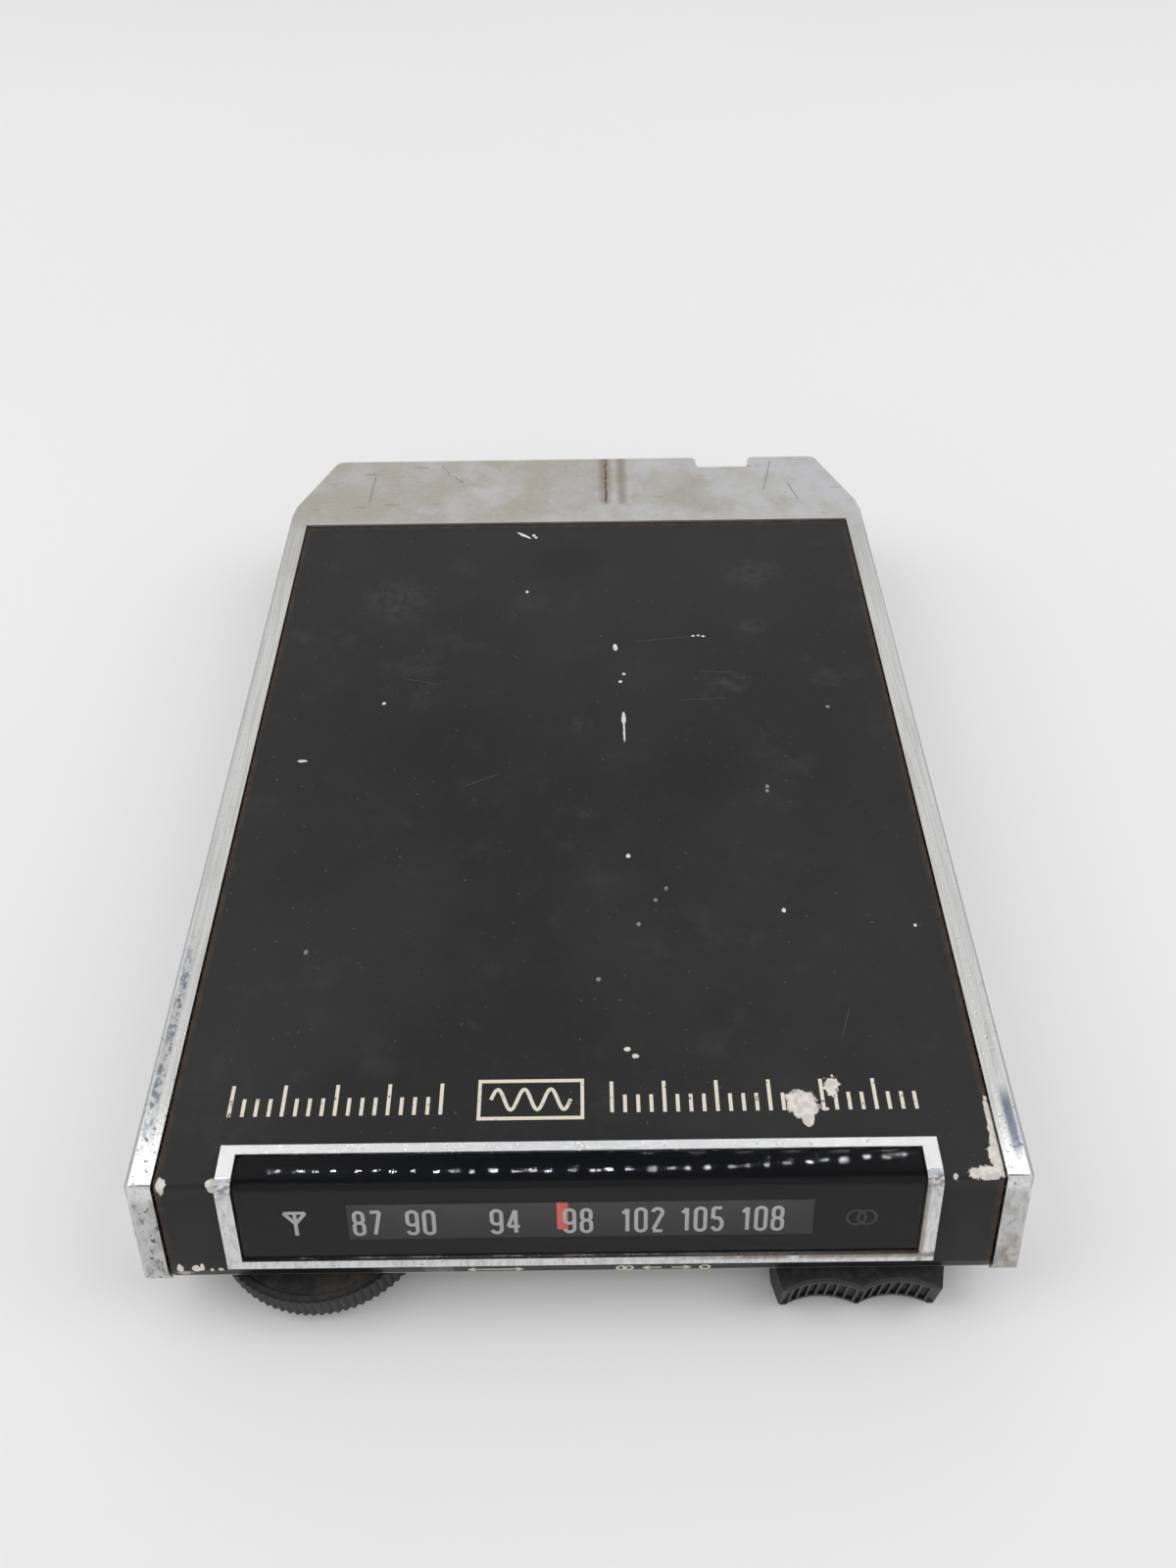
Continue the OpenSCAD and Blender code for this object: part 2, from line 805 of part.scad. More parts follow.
module wheel_screw() {
    color([0.75, 0.75, 0.74])
        translate([wheel_x, wheel_y, 0])
            difference() {
                union() {
                    post(0, 0, wheel_z + 0.05, wheel_z + 0.88, 2.4);
                    post(0, 0, wheel_z + 0.5, wheel_z + 4, 0.77);
                }
                box([-2.4, -0.25, wheel_z - 1], [2.4, 0.25, wheel_z + 0.4]);
            }
}

module spindle_bushes() {
    color([0.78, 0.62, 0.3])
        for (z = [shelf_z, deck_z])
            difference() {
                union() {
                    post(wheel_x, wheel_y, z - 0.6, z, 3.1);
                    post(wheel_x, wheel_y, z - 0.1, z + shelf_t + 0.6, 2.22);
                }
                post(wheel_x, wheel_y, z - 2, z + 4, spindle_d / 2 + 0.05);
            }
}

module pulley_post() {
    color([0.75, 0.75, 0.74])
        union() {
            post(pulley_x, pulley_y, deck_z - 0.4, groove_hi + 0.75, 1);
            post(pulley_x, pulley_y, deck_top, cord_z - 1.05, 2);
            post(pulley_x, pulley_y, groove_hi + 0.65, groove_hi + 1.05, 1.6);
        }
}

module cord_pulley() {
    floor_r = pulley_r - cord_d / 2 - 0.15;
    lo = cord_z - 0.95;
    hi = cord_z + 0.95;
    color([0.9, 0.88, 0.8])
        translate([pulley_x, pulley_y, 0])
            rotate_extrude()
                polygon([
                    [1.05, lo],
                    [pulley_r + 0.8, lo],
                    [floor_r, cord_z - 0.38],
                    [floor_r, cord_z + 0.38],
                    [pulley_r + 0.8, hi],
                    [1.05, hi]
                ]);
}

// Angle at which a cord leaves one circle for the next, both on its left
function leave(c0, r0, c1, r1) =
    let (d = c1 - c0)
    atan2(d[1], d[0]) - acos((r0 - r1) / norm(d));

function winding(c, r, a0, a1, z0, z1, step) =
    let (n = ceil((a1 - a0) / step))
    [for (i = [0 : n])
        let (a = a0 + (a1 - a0) * i / n)
        [c[0] + r * cos(a), c[1] + r * sin(a), z0 + (z1 - z0) * i / n]];

// Closed cord: front run, pulley, a turn and more on the drum, and the same on the spindle
function cord_path() =
    let (s = [wheel_x, wheel_y],
         p = [pulley_x, pulley_y],
         d = [0, drum_y],
         a0 = leave(s, spindle_r, p, pulley_r),
         a1 = leave(p, pulley_r, d, drum_r),
         a2 = leave(d, drum_r, s, spindle_r),
         low = cord_z - cord_drop)
    concat(
        winding(p, pulley_r, a0, a1, cord_z, cord_z, 15),
        winding(d, drum_r, a1, a2 + 360, cord_z, low, 9),
        winding(s, spindle_r, a2, a0 + 720, low, cord_z, 15));

module dial_cord() {
    color([0.86, 0.82, 0.7])
        tube(cord_path(), cord_d / 2, closed = true);
}

module cord_drum() {
    rim = drum_r + 0.8;
    floor_r = drum_r - cord_d / 2 - 0.12;
    color([0.88, 0.86, 0.78])
        translate([0, drum_y, 0])
            difference() {
                post(0, 0, groove_lo - flange_t, groove_hi + flange_t, rim);
                rotate_extrude()
                    translate([floor_r, groove_lo])
                        square([4, groove_hi - groove_lo]);
                for (a = [0 : 90 : 270])
                    rotate(a + 45)
                        post(8.6, 0, 0, body_h, 3);
                post(0, 0, 0, body_h, 2.03);
            }
}

module drum_screw() {
    color([0.75, 0.75, 0.74])
        pan_screw(0, drum_y, groove_hi + flange_t, 2.8, 0.9, 0.98, 4);
}

module tuning_capacitor() {
    top = deck_z + 0.2;
    color([0.9, 0.9, 0.84])
        translate([0, drum_y, 0])
            difference() {
                union() {
                    linear_extrude(top)
                        polygon(rounded([[-10, -10, 1], [10, -10, 1], [10, 10, 1], [-10, 10, 1]]));
                    post(0, 0, top - 0.1, top + 1.2, 4);
                }
                box([-11, -11, -1], [11, 11, board_top]);
                post(0, 0, board_top + 3, body_h, 2.05);
                for (x = [-7.6, 7.6])
                    for (y = [-7.6, 7.6])
                        post(x, y, top - 0.5, top + 1, 1.4);
            }
}

module capacitor_shaft() {
    color([0.78, 0.68, 0.4])
        difference() {
            post(0, drum_y, board_top + 3.2, groove_hi + flange_t - 0.1, 2);
            post(0, drum_y, groove_lo - 2.4, body_h, 1);
        }
}

// Mode switch

module mode_knob() {
    half = knob_w / 2;
    front = half - 0.7;
    back = foot_y - 0.4;
    flare_y = -knob_reach + 2.7;
    pitch = front - 0.65;
    r = (pow(pitch / 2 - 0.1, 2) + pow(scallop_d, 2)) / (2 * scallop_d);
    color([0.12, 0.12, 0.12])
        translate([knob_x, 0, 0])
            difference() {
                union() {
                    difference() {
                        translate([0, 0, knob_z])
                            linear_extrude(knob_h)
                                polygon(rounded([
                                    [-half, back, 0.4],
                                    [-half, flare_y, 0.8],
                                    [-front, -knob_reach, 0.3],
                                    [front, -knob_reach, 0.3],
                                    [half, flare_y, 0.8],
                                    [half, back, 0.4]
                                ]));
                        for (side = [-1, 1])
                            translate([side * pitch / 2, -knob_reach - r + scallop_d, 0]) {
                                post(0, 0, 0, body_h, r);
                                post(0, 0, knob_z + 0.45, knob_top - 0.4, r + 0.35);
                            }
                    }
                    for (side = [-1, 1])
                        translate([side * pitch / 2, -knob_reach - r + scallop_d, knob_z])
                            scallop_rib_row(r, pitch);
                    box([-stem_w / 2, back - 0.2, slide_z - 1.3],
                        [stem_w / 2, shell_y - 0.5, slide_z + 1.3]);
                }
                box([-tongue[0] / 2 - 0.03, shell_y - 0.5 - 1.7, slide_z - tongue[2] / 2 - 0.03],
                    [tongue[0] / 2 + 0.03, shell_y + 1, slide_z + tongue[2] / 2 + 0.03]);
            }
}

module scallop_rib_row(r, pitch) {
    sweep = 2 * asin((pitch / 2 - 0.5) / r);
    for (i = [0 : scallop_ribs - 1])
        rotate(90 - sweep / 2 + sweep * i / (scallop_ribs - 1))
            translate([r, -0.15, 0])
                cube([0.7, 0.3, knob_h - 0.3]);
}

module switch_slider() {
    color([0.85, 0.84, 0.8])
        translate([knob_x, shell_y, slide_z])
            union() {
                box([-3.5, 1.0, -slider_h / 2], [3.5, 4.9, slider_h / 2]);
                box([-tongue[0] / 2, -2.1, -tongue[2] / 2], [tongue[0] / 2, 1.1, tongue[2] / 2]);
            }
}

module switch_shell() {
    half = shell[0] / 2;
    color([0.75, 0.75, 0.76])
        translate([knob_x, shell_y, shell_z])
            difference() {
                union() {
                    cube_from(-half, half, 0, shell[1], 0, shell[2]);
                    cube_from(-half - 3.1, half + 3.1, 1.2, 4.8, shell[2] - 0.8, shell[2]);
                }
                cube_from(-half + 0.7, half - 0.7, 0.7, shell[1] - 0.7, 0.7, shell[2] - 0.8);
                cube_from(-mode_travel - 2.2, 2.2, -1, 1, shell[2] / 2 - 1.3, shell[2] / 2 + 1.3);
                for (x = [-10.8, 10.8])
                    post(x, 3, 0, shell[2] + 1, 0.95);
            }
}

module cube_from(x0, x1, y0, y1, z0, z1) {
    box([x0, y0, z0], [x1, y1, z1]);
}

module switch_screws() {
    color([0.75, 0.75, 0.74])
        for (x = [-10.8, 10.8])
            translate([knob_x + x, shell_y + 3, shelf_z - 0.8])
                mirror([0, 0, 1])
                    pan_screw(0, 0, 0, 1.2, 0.7, 0.9, shelf_t + 0.8);
}

// Lamp

module stereo_lamp() {
    color([0.9, 0.9, 0.85])
        union() {
            rod([lamp_x, 3.4, lamp_z], [lamp_x, 9.9, lamp_z], 1.2);
            translate([lamp_x, 3.4, lamp_z])
                sphere(r = 1.2);
        }
}

module lamp_holder() {
    color([0.15, 0.15, 0.15])
        difference() {
            rod([lamp_x, 8, lamp_z], [lamp_x, web_y + 1.8, lamp_z], 1.6);
            rod([lamp_x, 7, lamp_z], [lamp_x, 9.92, lamp_z], 1.22);
        }
}

module lamp_leads() {
    color([0.6, 0.15, 0.12])
        for (x = [-0.7, 0.7])
            wire([lamp_x + x, web_y + 1.82, lamp_z], [0, 6, 0],
                 [lamp_x + 3 * x, board_y + 4, lead_z], [0, 0, -3], 0.35);
}

// Board

module circuit_board() {
    color([0.5, 0.36, 0.2])
        difference() {
            box([-board_x, board_y, board_z], [board_x, board_end, board_top]);
            for (p = block_spots(6.2, 3))
                post(p[0], p[1], 0, body_h, 1);
        }
}

module board_screws() {
    color([0.75, 0.75, 0.74])
        for (p = block_spots(6.2, 3))
            pan_screw(p[0], p[1], board_top, 1.7, 0.9, 0.85, board_t + 1.6);
}

// Rows of parts behind the front end, as shares of the board's length there
row_front = 0;
row_cans = 0.127;
row_trim = 0.307;
row_chip = 0.469;
row_sound = 0.645;
row_supply = 0.832;

// Place on the board, by its share of the half width and its row
function spot(share, row) = [share * board_x, field_y + row * (board_end - field_y)];

can_spots = [for (share = [-0.74, -0.46, -0.17, 0.12, 0.41]) spot(share, row_cans)];

module if_cans() {
    color([0.78, 0.78, 0.76])
        for (p = can_spots)
            difference() {
                translate([p[0], p[1], board_top])
                    linear_extrude(can_h)
                        polygon(rounded([[-5, -5, 0.8], [5, -5, 0.8], [5, 5, 0.8], [-5, 5, 0.8]]));
                post(p[0], p[1], board_top + can_h - 2, body_h, 2);
            }
}

module can_cores() {
    color([0.75, 0.6, 0.2])
        for (p = can_spots)
            difference() {
                post(p[0], p[1], board_top + can_h - 2, board_top + can_h - 0.7, 1.95);
                box([p[0] - 1.4, p[1] - 0.3, board_top + can_h - 1.2],
                    [p[0] + 1.4, p[1] + 0.3, board_top + can_h]);
            }
}

module front_end_shield() {
    size = [26, 24, 8.4];
    wall = [0.5, 0.5, 0];
    from = [board_x - 5.5 - size[0], drum_y - 8, board_top];
    color([0.76, 0.77, 0.76])
        difference() {
            box(from, from + size);
            box(from + wall - [0, 0, 1], from + size - wall - [0, 0, wall[0]]);
            for (x = [-7, 0, 7])
                post(from[0] + size[0] / 2 + x, drum_y + 4, board_top + 6, body_h, 1.5);
        }
}

module rf_coils() {
    color([0.72, 0.45, 0.25])
        for (from_corner = [[28.5, -7], [28.5, 6], [17.5, -1]])
            translate([from_corner[0] - board_x, drum_y + from_corner[1], board_top]) {
                cylinder(r = 2.6, h = 8);
                for (i = [0 : 4])
                    translate([0, 0, 2 + i])
                        rotate_extrude()
                            translate([2.8, 0])
                                circle(r = 0.42, $fn = 16);
            }
}

module transistors() {
    front = [for (p = [[-0.76, 10], [-0.57, 12], [-0.29, 15]]) [p[0] * board_x, drum_y + p[1]]];
    rear = [spot(0.65, row_cans), spot(0.82, row_cans), spot(-0.42, row_trim), spot(0.05, row_trim)];
    color([0.12, 0.12, 0.12])
        for (p = concat(front, rear))
            difference() {
                post(p[0], p[1], board_top, board_top + 5, 2.4);
                box([p[0] - 3, p[1] + 1.2, 0], [p[0] + 3, p[1] + 4, body_h]);
            }
}

module decoder_chip() {
    y = spot(0, row_chip)[1];
    color([0.14, 0.14, 0.15])
        union() {
            box([-9.5, y - 3.2, board_top + 0.6], [9.5, y + 3.2, board_top + 4]);
            for (i = [-3 : 3])
                for (side = [-1, 1])
                    box([i * 2.54 - 0.5, y + side * 3.6 - 0.5, board_top],
                        [i * 2.54 + 0.5, y + side * 3.6 + 0.5, board_top + 2.2]);
        }
}

module electrolytics() {
    color([0.2, 0.3, 0.55])
        for (c = [[-0.8, row_trim, 3.2], [-0.8, row_chip, 4], [-0.57, row_sound, 4],
                  [0.76, row_chip, 4], [0.78, row_sound, 4.6], [0.53, row_sound, 3.2]])
            let (p = spot(c[0], c[1]), r = c[2])
            difference() {
                post(p[0], p[1], board_top, board_top + 2 * r + 1, r);
                translate([p[0], p[1], board_top + 1.6])
                    rotate_extrude()
                        translate([r - 0.25, 0])
                            square([1, 0.6]);
            }
}

module disc_capacitors() {
    color([0.75, 0.5, 0.25])
        for (p = [spot(-0.61, row_trim), spot(0.24, row_trim), spot(0.43, row_trim),
                  spot(-0.34, row_chip), spot(0.36, row_chip),
                  spot(-0.23, row_sound), spot(0.05, row_sound), spot(0.42, row_supply)]) {
            rod([p[0], p[1] - 0.8, board_top + 4], [p[0], p[1] + 0.8, board_top + 4], 2.7);
            for (x = [-1.6, 1.6])
                post(p[0] + x, p[1], board_top, board_top + 3, 0.35);
        }
}

module resistors() {
    color([0.75, 0.62, 0.42])
        for (c = [[-0.21, row_front, 0], [0.05, row_front, 0], [0.76, row_front, 0], [0.65, row_trim, 0],
                  [-0.55, row_chip, 0], [0.55, row_chip, 0], [-0.8, row_sound, 90], [0.27, row_sound, 0],
                  [-0.09, row_supply, 0], [0.19, row_supply, 0], [-0.7, row_supply, 0]])
            let (p = spot(c[0], c[1]))
            translate([p[0], p[1], board_top])
                rotate(c[2]) {
                    rod([-3.2, 0, 1.3], [3.2, 0, 1.3], 1.1);
                    for (x = [-1, 1]) {
                        rod([x * 3.1, 0, 1.3], [x * 4.6, 0, 1.3], 0.3);
                        post(x * 4.4, 0, 0, 1.4, 0.3);
                    }
                }
}

module trim_pots() {
    color([0.2, 0.4, 0.6])
        for (p = [spot(-0.17, row_trim), spot(0.65, row_supply)])
            difference() {
                post(p[0], p[1], board_top, board_top + 3.6, 3.8);
                box([p[0] - 2.4, p[1] - 0.4, board_top + 2.8], [p[0] + 2.4, p[1] + 0.4, body_h]);
            }
}

module supply_choke() {
    p = spot(-0.34, row_supply);
    color([0.25, 0.24, 0.24])
        translate([p[0], p[1], board_top])
            rotate_extrude()
                polygon([[0, 0], [4.6, 0], [4.6, 1.2], [3.6, 1.2], [3.6, 6.8], [4.6, 6.8], [4.6, 8], [0, 8]]);
}

// Insert end

module coupling_head() {
    r = 14;
    front = body_len - 0.3;
    color([0.62, 0.62, 0.62])
        intersection() {
            box([-6.6, body_len - 11, end_shelf_z + end_plate_t],
                [6.6, front + 1, window_z + end_window_h - 0.5]);
            post(0, front - r, 0, body_h, r);
        }
}

module head_bracket() {
    y0 = body_len - 12;
    color([0.7, 0.7, 0.68])
        difference() {
            union() {
                box([-11.8, y0, end_shelf_z], [11.8, body_len - 3, end_shelf_z + end_plate_t]);
                box([-6.6, y0, end_shelf_z], [6.6, y0 + 1, window_z + end_window_h - 3]);
            }
            for (p = end_screw_spots())
                post(p[0], p[1], 0, body_h, 1);
        }
}

module end_screws() {
    color([0.75, 0.75, 0.74])
        for (p = end_screw_spots())
            pan_screw(p[0], p[1], end_shelf_z + end_plate_t, 1.6, 0.9, 0.85, 3.4);
}

module contact_block() {
    y0 = body_len - 9;
    color([0.35, 0.2, 0.12])
        difference() {
            union() {
                box([contact_x - 6.4, y0, end_shelf_z],
                    [contact_x + 6.4, body_len - 3.2, window_z + end_window_h - 0.8]);
                box([contact_x - 11.8, y0, end_shelf_z],
                    [contact_x + 11.8, body_len - 3.4, end_shelf_z + end_plate_t]);
            }
            for (p = end_screw_spots())
                post(p[0], p[1], 0, body_h, 1);
        }
}

module contact_springs() {
    z = window_z + 1.4;
    color([0.8, 0.6, 0.3])
        for (x = [-3.1, 3.1])
            translate([contact_x + x, body_len - 3.2, z])
                difference() {
                    cylinder(r = 2.8, h = end_window_h - 2.8);
                    translate([0, 0, -1])
                        cylinder(r = 2.4, h = end_window_h);
                    box([-4, -4, -1], [4, 0, body_h]);
                }
}

module head_leads() {
    y = body_len - 12;
    color([0.7, 0.2, 0.15])
        for (x = [-3, 0, 3])
            wire([x, y, end_shelf_z + 5], [0, -4, 0],
                 [1.4 * x, board_end - 2.5, lead_z], [0, 0, -3], 0.4);
}

module supply_leads() {
    y = body_len - 9;
    color([0.15, 0.15, 0.16])
        for (x = [-3.1, 3.1])
            wire([contact_x + x, y, end_shelf_z + 5], [0, -6, 0],
                 [contact_x + 1.2 * x, board_end - 2.5, lead_z], [0, 0, -3], 0.45);
}

placed() case_frame();
placed() top_cover();
placed() bottom_cover();
placed() bottom_screws();
placed() dial_bezel();
placed() dial_lens();
placed() dial_mask();
placed() dial_plate();
placed() dial_plate_screws();
placed() dial_chassis();
placed() chassis_screws();
placed() pointer_rail();
placed() dial_pointer();
placed() pointer_carriage();
placed() tuning_wheel();
placed() tuning_spindle();
placed() wheel_screw();
placed() spindle_bushes();
placed() dial_cord();
placed() cord_drum();
placed() drum_screw();
placed() cord_pulley();
placed() pulley_post();
placed() tuning_capacitor();
placed() capacitor_shaft();
placed() mode_knob();
placed() switch_slider();
placed() switch_shell();
placed() switch_screws();
placed() stereo_lamp();
placed() lamp_holder();
placed() lamp_leads();
placed() circuit_board();
placed() board_screws();
placed() if_cans();
placed() can_cores();
placed() front_end_shield();
placed() rf_coils();
placed() transistors();
placed() decoder_chip();
placed() electrolytics();
placed() disc_capacitors();
placed() resistors();
placed() trim_pots();
placed() supply_choke();
placed() coupling_head();
placed() head_bracket();
placed() end_screws();
placed() contact_block();
placed() contact_springs();
placed() head_leads();
placed() supply_leads();
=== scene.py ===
import json
import math

import bmesh
import bpy
from mathutils import Matrix, Vector

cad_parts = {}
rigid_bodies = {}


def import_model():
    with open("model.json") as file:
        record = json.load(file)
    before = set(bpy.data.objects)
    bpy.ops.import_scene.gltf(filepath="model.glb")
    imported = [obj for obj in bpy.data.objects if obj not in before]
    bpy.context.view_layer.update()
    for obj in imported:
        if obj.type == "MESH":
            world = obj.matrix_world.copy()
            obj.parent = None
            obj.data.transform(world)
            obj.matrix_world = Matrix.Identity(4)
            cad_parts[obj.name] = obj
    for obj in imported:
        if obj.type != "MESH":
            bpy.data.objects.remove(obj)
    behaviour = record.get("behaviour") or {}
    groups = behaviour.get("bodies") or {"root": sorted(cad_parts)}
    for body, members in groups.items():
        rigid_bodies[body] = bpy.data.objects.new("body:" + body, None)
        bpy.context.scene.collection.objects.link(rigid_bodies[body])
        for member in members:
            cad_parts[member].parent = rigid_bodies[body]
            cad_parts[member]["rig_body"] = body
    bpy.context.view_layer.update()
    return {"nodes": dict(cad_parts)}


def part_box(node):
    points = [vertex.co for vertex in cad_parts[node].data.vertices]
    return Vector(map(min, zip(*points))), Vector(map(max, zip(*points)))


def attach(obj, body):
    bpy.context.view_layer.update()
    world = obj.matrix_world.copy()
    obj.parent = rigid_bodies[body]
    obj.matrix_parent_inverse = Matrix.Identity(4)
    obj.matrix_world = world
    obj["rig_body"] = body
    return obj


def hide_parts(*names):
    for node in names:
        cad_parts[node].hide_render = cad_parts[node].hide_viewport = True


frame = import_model()
nodes = frame["nodes"]
scene = bpy.context.scene
MM = 0.001

# Camera: hand-held above the nose, looking down the length of the top cover.
# Its place and tilt follow the photograph's straight edges; it has no shift and no blur.
PITCH, YAW, ROLL = 0.8639, -0.0023, -0.0148
EYE_X, EYE_BEFORE, EYE_Z = 1.81, 51.58, 149.65
SENSOR, FOCAL = 36, 27
COVER_LENGTH = 120.05
bend_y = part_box("top_cover")[1].y / MM - COVER_LENGTH
eye = Vector((EYE_X, bend_y - EYE_BEFORE, EYE_Z)) * MM
ahead = Vector((math.sin(YAW) * math.cos(PITCH), math.cos(YAW) * math.cos(PITCH), -math.sin(PITCH)))
level = Vector((math.cos(YAW), -math.sin(YAW), 0))
upward = level.cross(ahead)
right = math.cos(ROLL) * level + math.sin(ROLL) * upward
above = math.cos(ROLL) * upward - math.sin(ROLL) * level
lens_data = bpy.data.cameras.new("camera")
lens_data.sensor_width = SENSOR
lens_data.lens = FOCAL
camera = bpy.data.objects.new("camera", lens_data)
camera.matrix_world = Matrix.Translation(eye) @ Matrix((right, above, -ahead)).transposed().to_4x4()
scene.collection.objects.link(camera)
scene.camera = camera
scene.view_settings.view_transform = "Standard"


# Table and studio light: a pale matt board under the part, a pale room with a duller ceiling, a soft
# panel at either side and a row of small lamps above the cover, which the dial lens mirrors.
class Socket:
    """A socket in a node tree; arithmetic on it adds Math nodes."""

    def __init__(self, tree, out):
        self.tree = tree
        self.out = out

    def fill(self, node, inputs):
        for name, value in inputs.items():
            if isinstance(value, Socket):
                self.tree.links.new(value.out, node.inputs[name])
            else:
                node.inputs[name].default_value = value

    def node(self, kind, settings, inputs, out=0):
        made = self.tree.nodes.new("ShaderNode" + kind)
        for name, setting in settings.items():
            setattr(made, name, setting)
        self.fill(made, inputs)
        return Socket(self.tree, made.outputs[out])

    def math(self, operation, *values):
        return self.node("Math", {"operation": operation}, dict(enumerate(values)))

    def __add__(self, other):
        return self.math("ADD", self, other)

    def __radd__(self, other):
        return self.math("ADD", other, self)

    def __sub__(self, other):
        return self.math("SUBTRACT", self, other)

    def __rsub__(self, other):
        return self.math("SUBTRACT", other, self)

    def __mul__(self, other):
        return self.math("MULTIPLY", self, other)

    def __abs__(self):
        return self.math("ABSOLUTE", self)

    def either(self, other):
        return self.math("MAXIMUM", self, other)

    def axis(self, name):
        return self.node("SeparateXYZ", {}, {"Vector": self}, name)

    def scaled(self, x, y, z):
        return self.node("VectorMath", {"operation": "MULTIPLY"}, {0: self, 1: (x, y, z)})

    def moved(self, x, y, z):
        return self.node("VectorMath", {"operation": "ADD"}, {0: self, 1: (x, y, z)})

    def turned(self, degrees):
        return self.node("VectorRotate", {"rotation_type": "Z_AXIS"},
                         {"Vector": self, "Angle": math.radians(degrees)})

    def length(self):
        return self.node("VectorMath", {"operation": "LENGTH"}, {0: self}, "Value")

    def noise(self, scale, detail=2.0, roughness=0.5):
        return self.node("TexNoise", {}, {"Vector": self, "Scale": scale, "Detail": detail,
                                          "Roughness": roughness})

    def rise(self, low, high):
        return self.node("MapRange", {"interpolation_type": "SMOOTHSTEP"},
                         {"Value": self, "From Min": low, "From Max": high})

    def fall(self, low, high):
        return self.node("MapRange", {"interpolation_type": "SMOOTHSTEP"},
                         {"Value": self, "From Min": low, "From Max": high, "To Min": 1.0, "To Max": 0.0})

    def near(self, value, half, soft):
        return abs(self - value).fall(half - soft, half + soft)

    def tint(self, first, second):
        first = (*first, 1) if isinstance(first, tuple) else first
        second = (*second, 1) if isinstance(second, tuple) else second
        return self.node("Mix", {"data_type": "RGBA"}, {"Factor": self, 6: first, 7: second}, 2)

    def bump(self, height_mm, strength=1.0):
        return self.node("Bump", {}, {"Height": self, "Distance": height_mm * MM, "Strength": strength})


def new_finish(name):
    """A new material, its shader and the surface's place in millimetres."""
    material = bpy.data.materials.new(name)
    material.use_nodes = True
    tree = material.node_tree
    shader = tree.nodes["Principled BSDF"]
    place = Socket(tree, tree.nodes.new("ShaderNodeTexCoord").outputs["Object"])
    return material, shader, place.scaled(1 / MM, 1 / MM, 1 / MM)


board, shader, place = new_finish("pale_board")
cloudy = place.noise(0.004, 3.0)
place.fill(shader, {
    "Base Color": cloudy.tint((0.84, 0.835, 0.83), (0.89, 0.885, 0.885)),
    "Roughness": 0.75,
    "Specular IOR Level": 0.2,
})
FLOOR_HALF = 4
floor_shape = bmesh.new()
bmesh.ops.create_grid(floor_shape, x_segments=1, y_segments=1, size=FLOOR_HALF)
floor_mesh = bpy.data.meshes.new("floor")
floor_shape.to_mesh(floor_mesh)
floor_shape.free()
floor_mesh.materials.append(board)
floor = bpy.data.objects.new("floor", floor_mesh)
scene.collection.objects.link(floor)

world = bpy.data.worlds.new("room")
world.use_nodes = True
scene.world = world
sky = Socket(world.node_tree, world.node_tree.nodes.new("ShaderNodeTexCoord").outputs["Generated"])
ceiling = sky.axis("Z").rise(0.885, 0.925)
sky.fill(world.node_tree.nodes["Background"], {
    "Color": ceiling.tint((1.0, 0.995, 0.99), (0.80, 0.88, 1.0)),
    "Strength": 0.74 - ceiling * 0.40,
})


def panel(name, where, aim, width, depth, watts, mirrored_only=False):
    """A flat lamp, in metres and watts; one that is mirrored only lights no matt surface."""
    data = bpy.data.lights.new(name, "AREA")
    data.shape = "RECTANGLE"
    data.size = width
    data.size_y = depth
    data.energy = watts
    lamp = bpy.data.objects.new(name, data)
    lamp.location = where
    lamp.rotation_euler = (Vector(aim) - Vector(where)).to_track_quat("-Z", "Y").to_euler()
    lamp.visible_camera = False
    lamp.visible_diffuse = not mirrored_only
    lamp.visible_transmission = not mirrored_only
    scene.collection.objects.link(lamp)


PANEL_X, PANEL_Y, PANEL_Z = 0.75, 0.05, 0.75
PANEL_WIDE, PANEL_DEEP, PANEL_WATTS = 0.7, 0.9, 3.0
for name, side in (("left_panel", -1), ("right_panel", 1)):
    panel(name, (side * PANEL_X, PANEL_Y, PANEL_Z), (0, 0, 0), PANEL_WIDE, PANEL_DEEP, PANEL_WATTS)
ROW_PITCH, ROW_LAMPS, ROW_Y, ROW_Z = 0.0104, 33, 0.1245, 0.5
ROW_WIDE, ROW_DEEP, ROW_WATTS = 0.0034, 0.0016, 0.0015
for count in range(ROW_LAMPS):
    lamp_x = (count - (ROW_LAMPS - 1) / 2) * ROW_PITCH + 0.0014 * math.sin(count * 1.7)
    lamp_y = ROW_Y + (0.45 if lamp_x > 0 else 0.12) * lamp_x ** 2 - 0.0006 * math.sin(count * 3.3)
    panel(f"row_lamp_{count}", (lamp_x, lamp_y, ROW_Z), (lamp_x, lamp_y, 0), ROW_WIDE, ROW_DEEP,
          ROW_WATTS * (1 + 0.45 * math.sin(count * 2.4)), mirrored_only=True)
BACK_LAMPS, BACK_X, BACK_PITCH, BACK_Y = 6, 0.030, 0.026, ROW_Y + 0.0185
BACK_WIDE, BACK_DEEP, BACK_WATTS = 0.008, 0.003, 0.0004
for count in range(BACK_LAMPS):
    lamp_x = BACK_X + count * BACK_PITCH
    panel(f"back_lamp_{count}", (lamp_x, BACK_Y, ROW_Z), (lamp_x, BACK_Y, 0), BACK_WIDE, BACK_DEEP,
          BACK_WATTS, mirrored_only=True)


# Case frame: a zinc casting with side rails, the insert-end band and the walls, plated bright all over.
# The plating is pitted at the nose and rubbed dull where the band slides into the player. Painted
# reflections streak the rails' tops and outer edges, and painted shade darkens the front faces.
MERGE, AT_EDGE, FLAT_ANGLE = 0.002, 0.02, 0.5


def bevel(shape, edges, offset):
    """Rounds edges of a shape off, by an offset in millimetres."""
    bmesh.ops.bevel(shape, geom=edges, offset=offset * MM, offset_type="OFFSET", affect="EDGES",
                    segments=3, profile=0.5, material=-1, clamp_overlap=True)


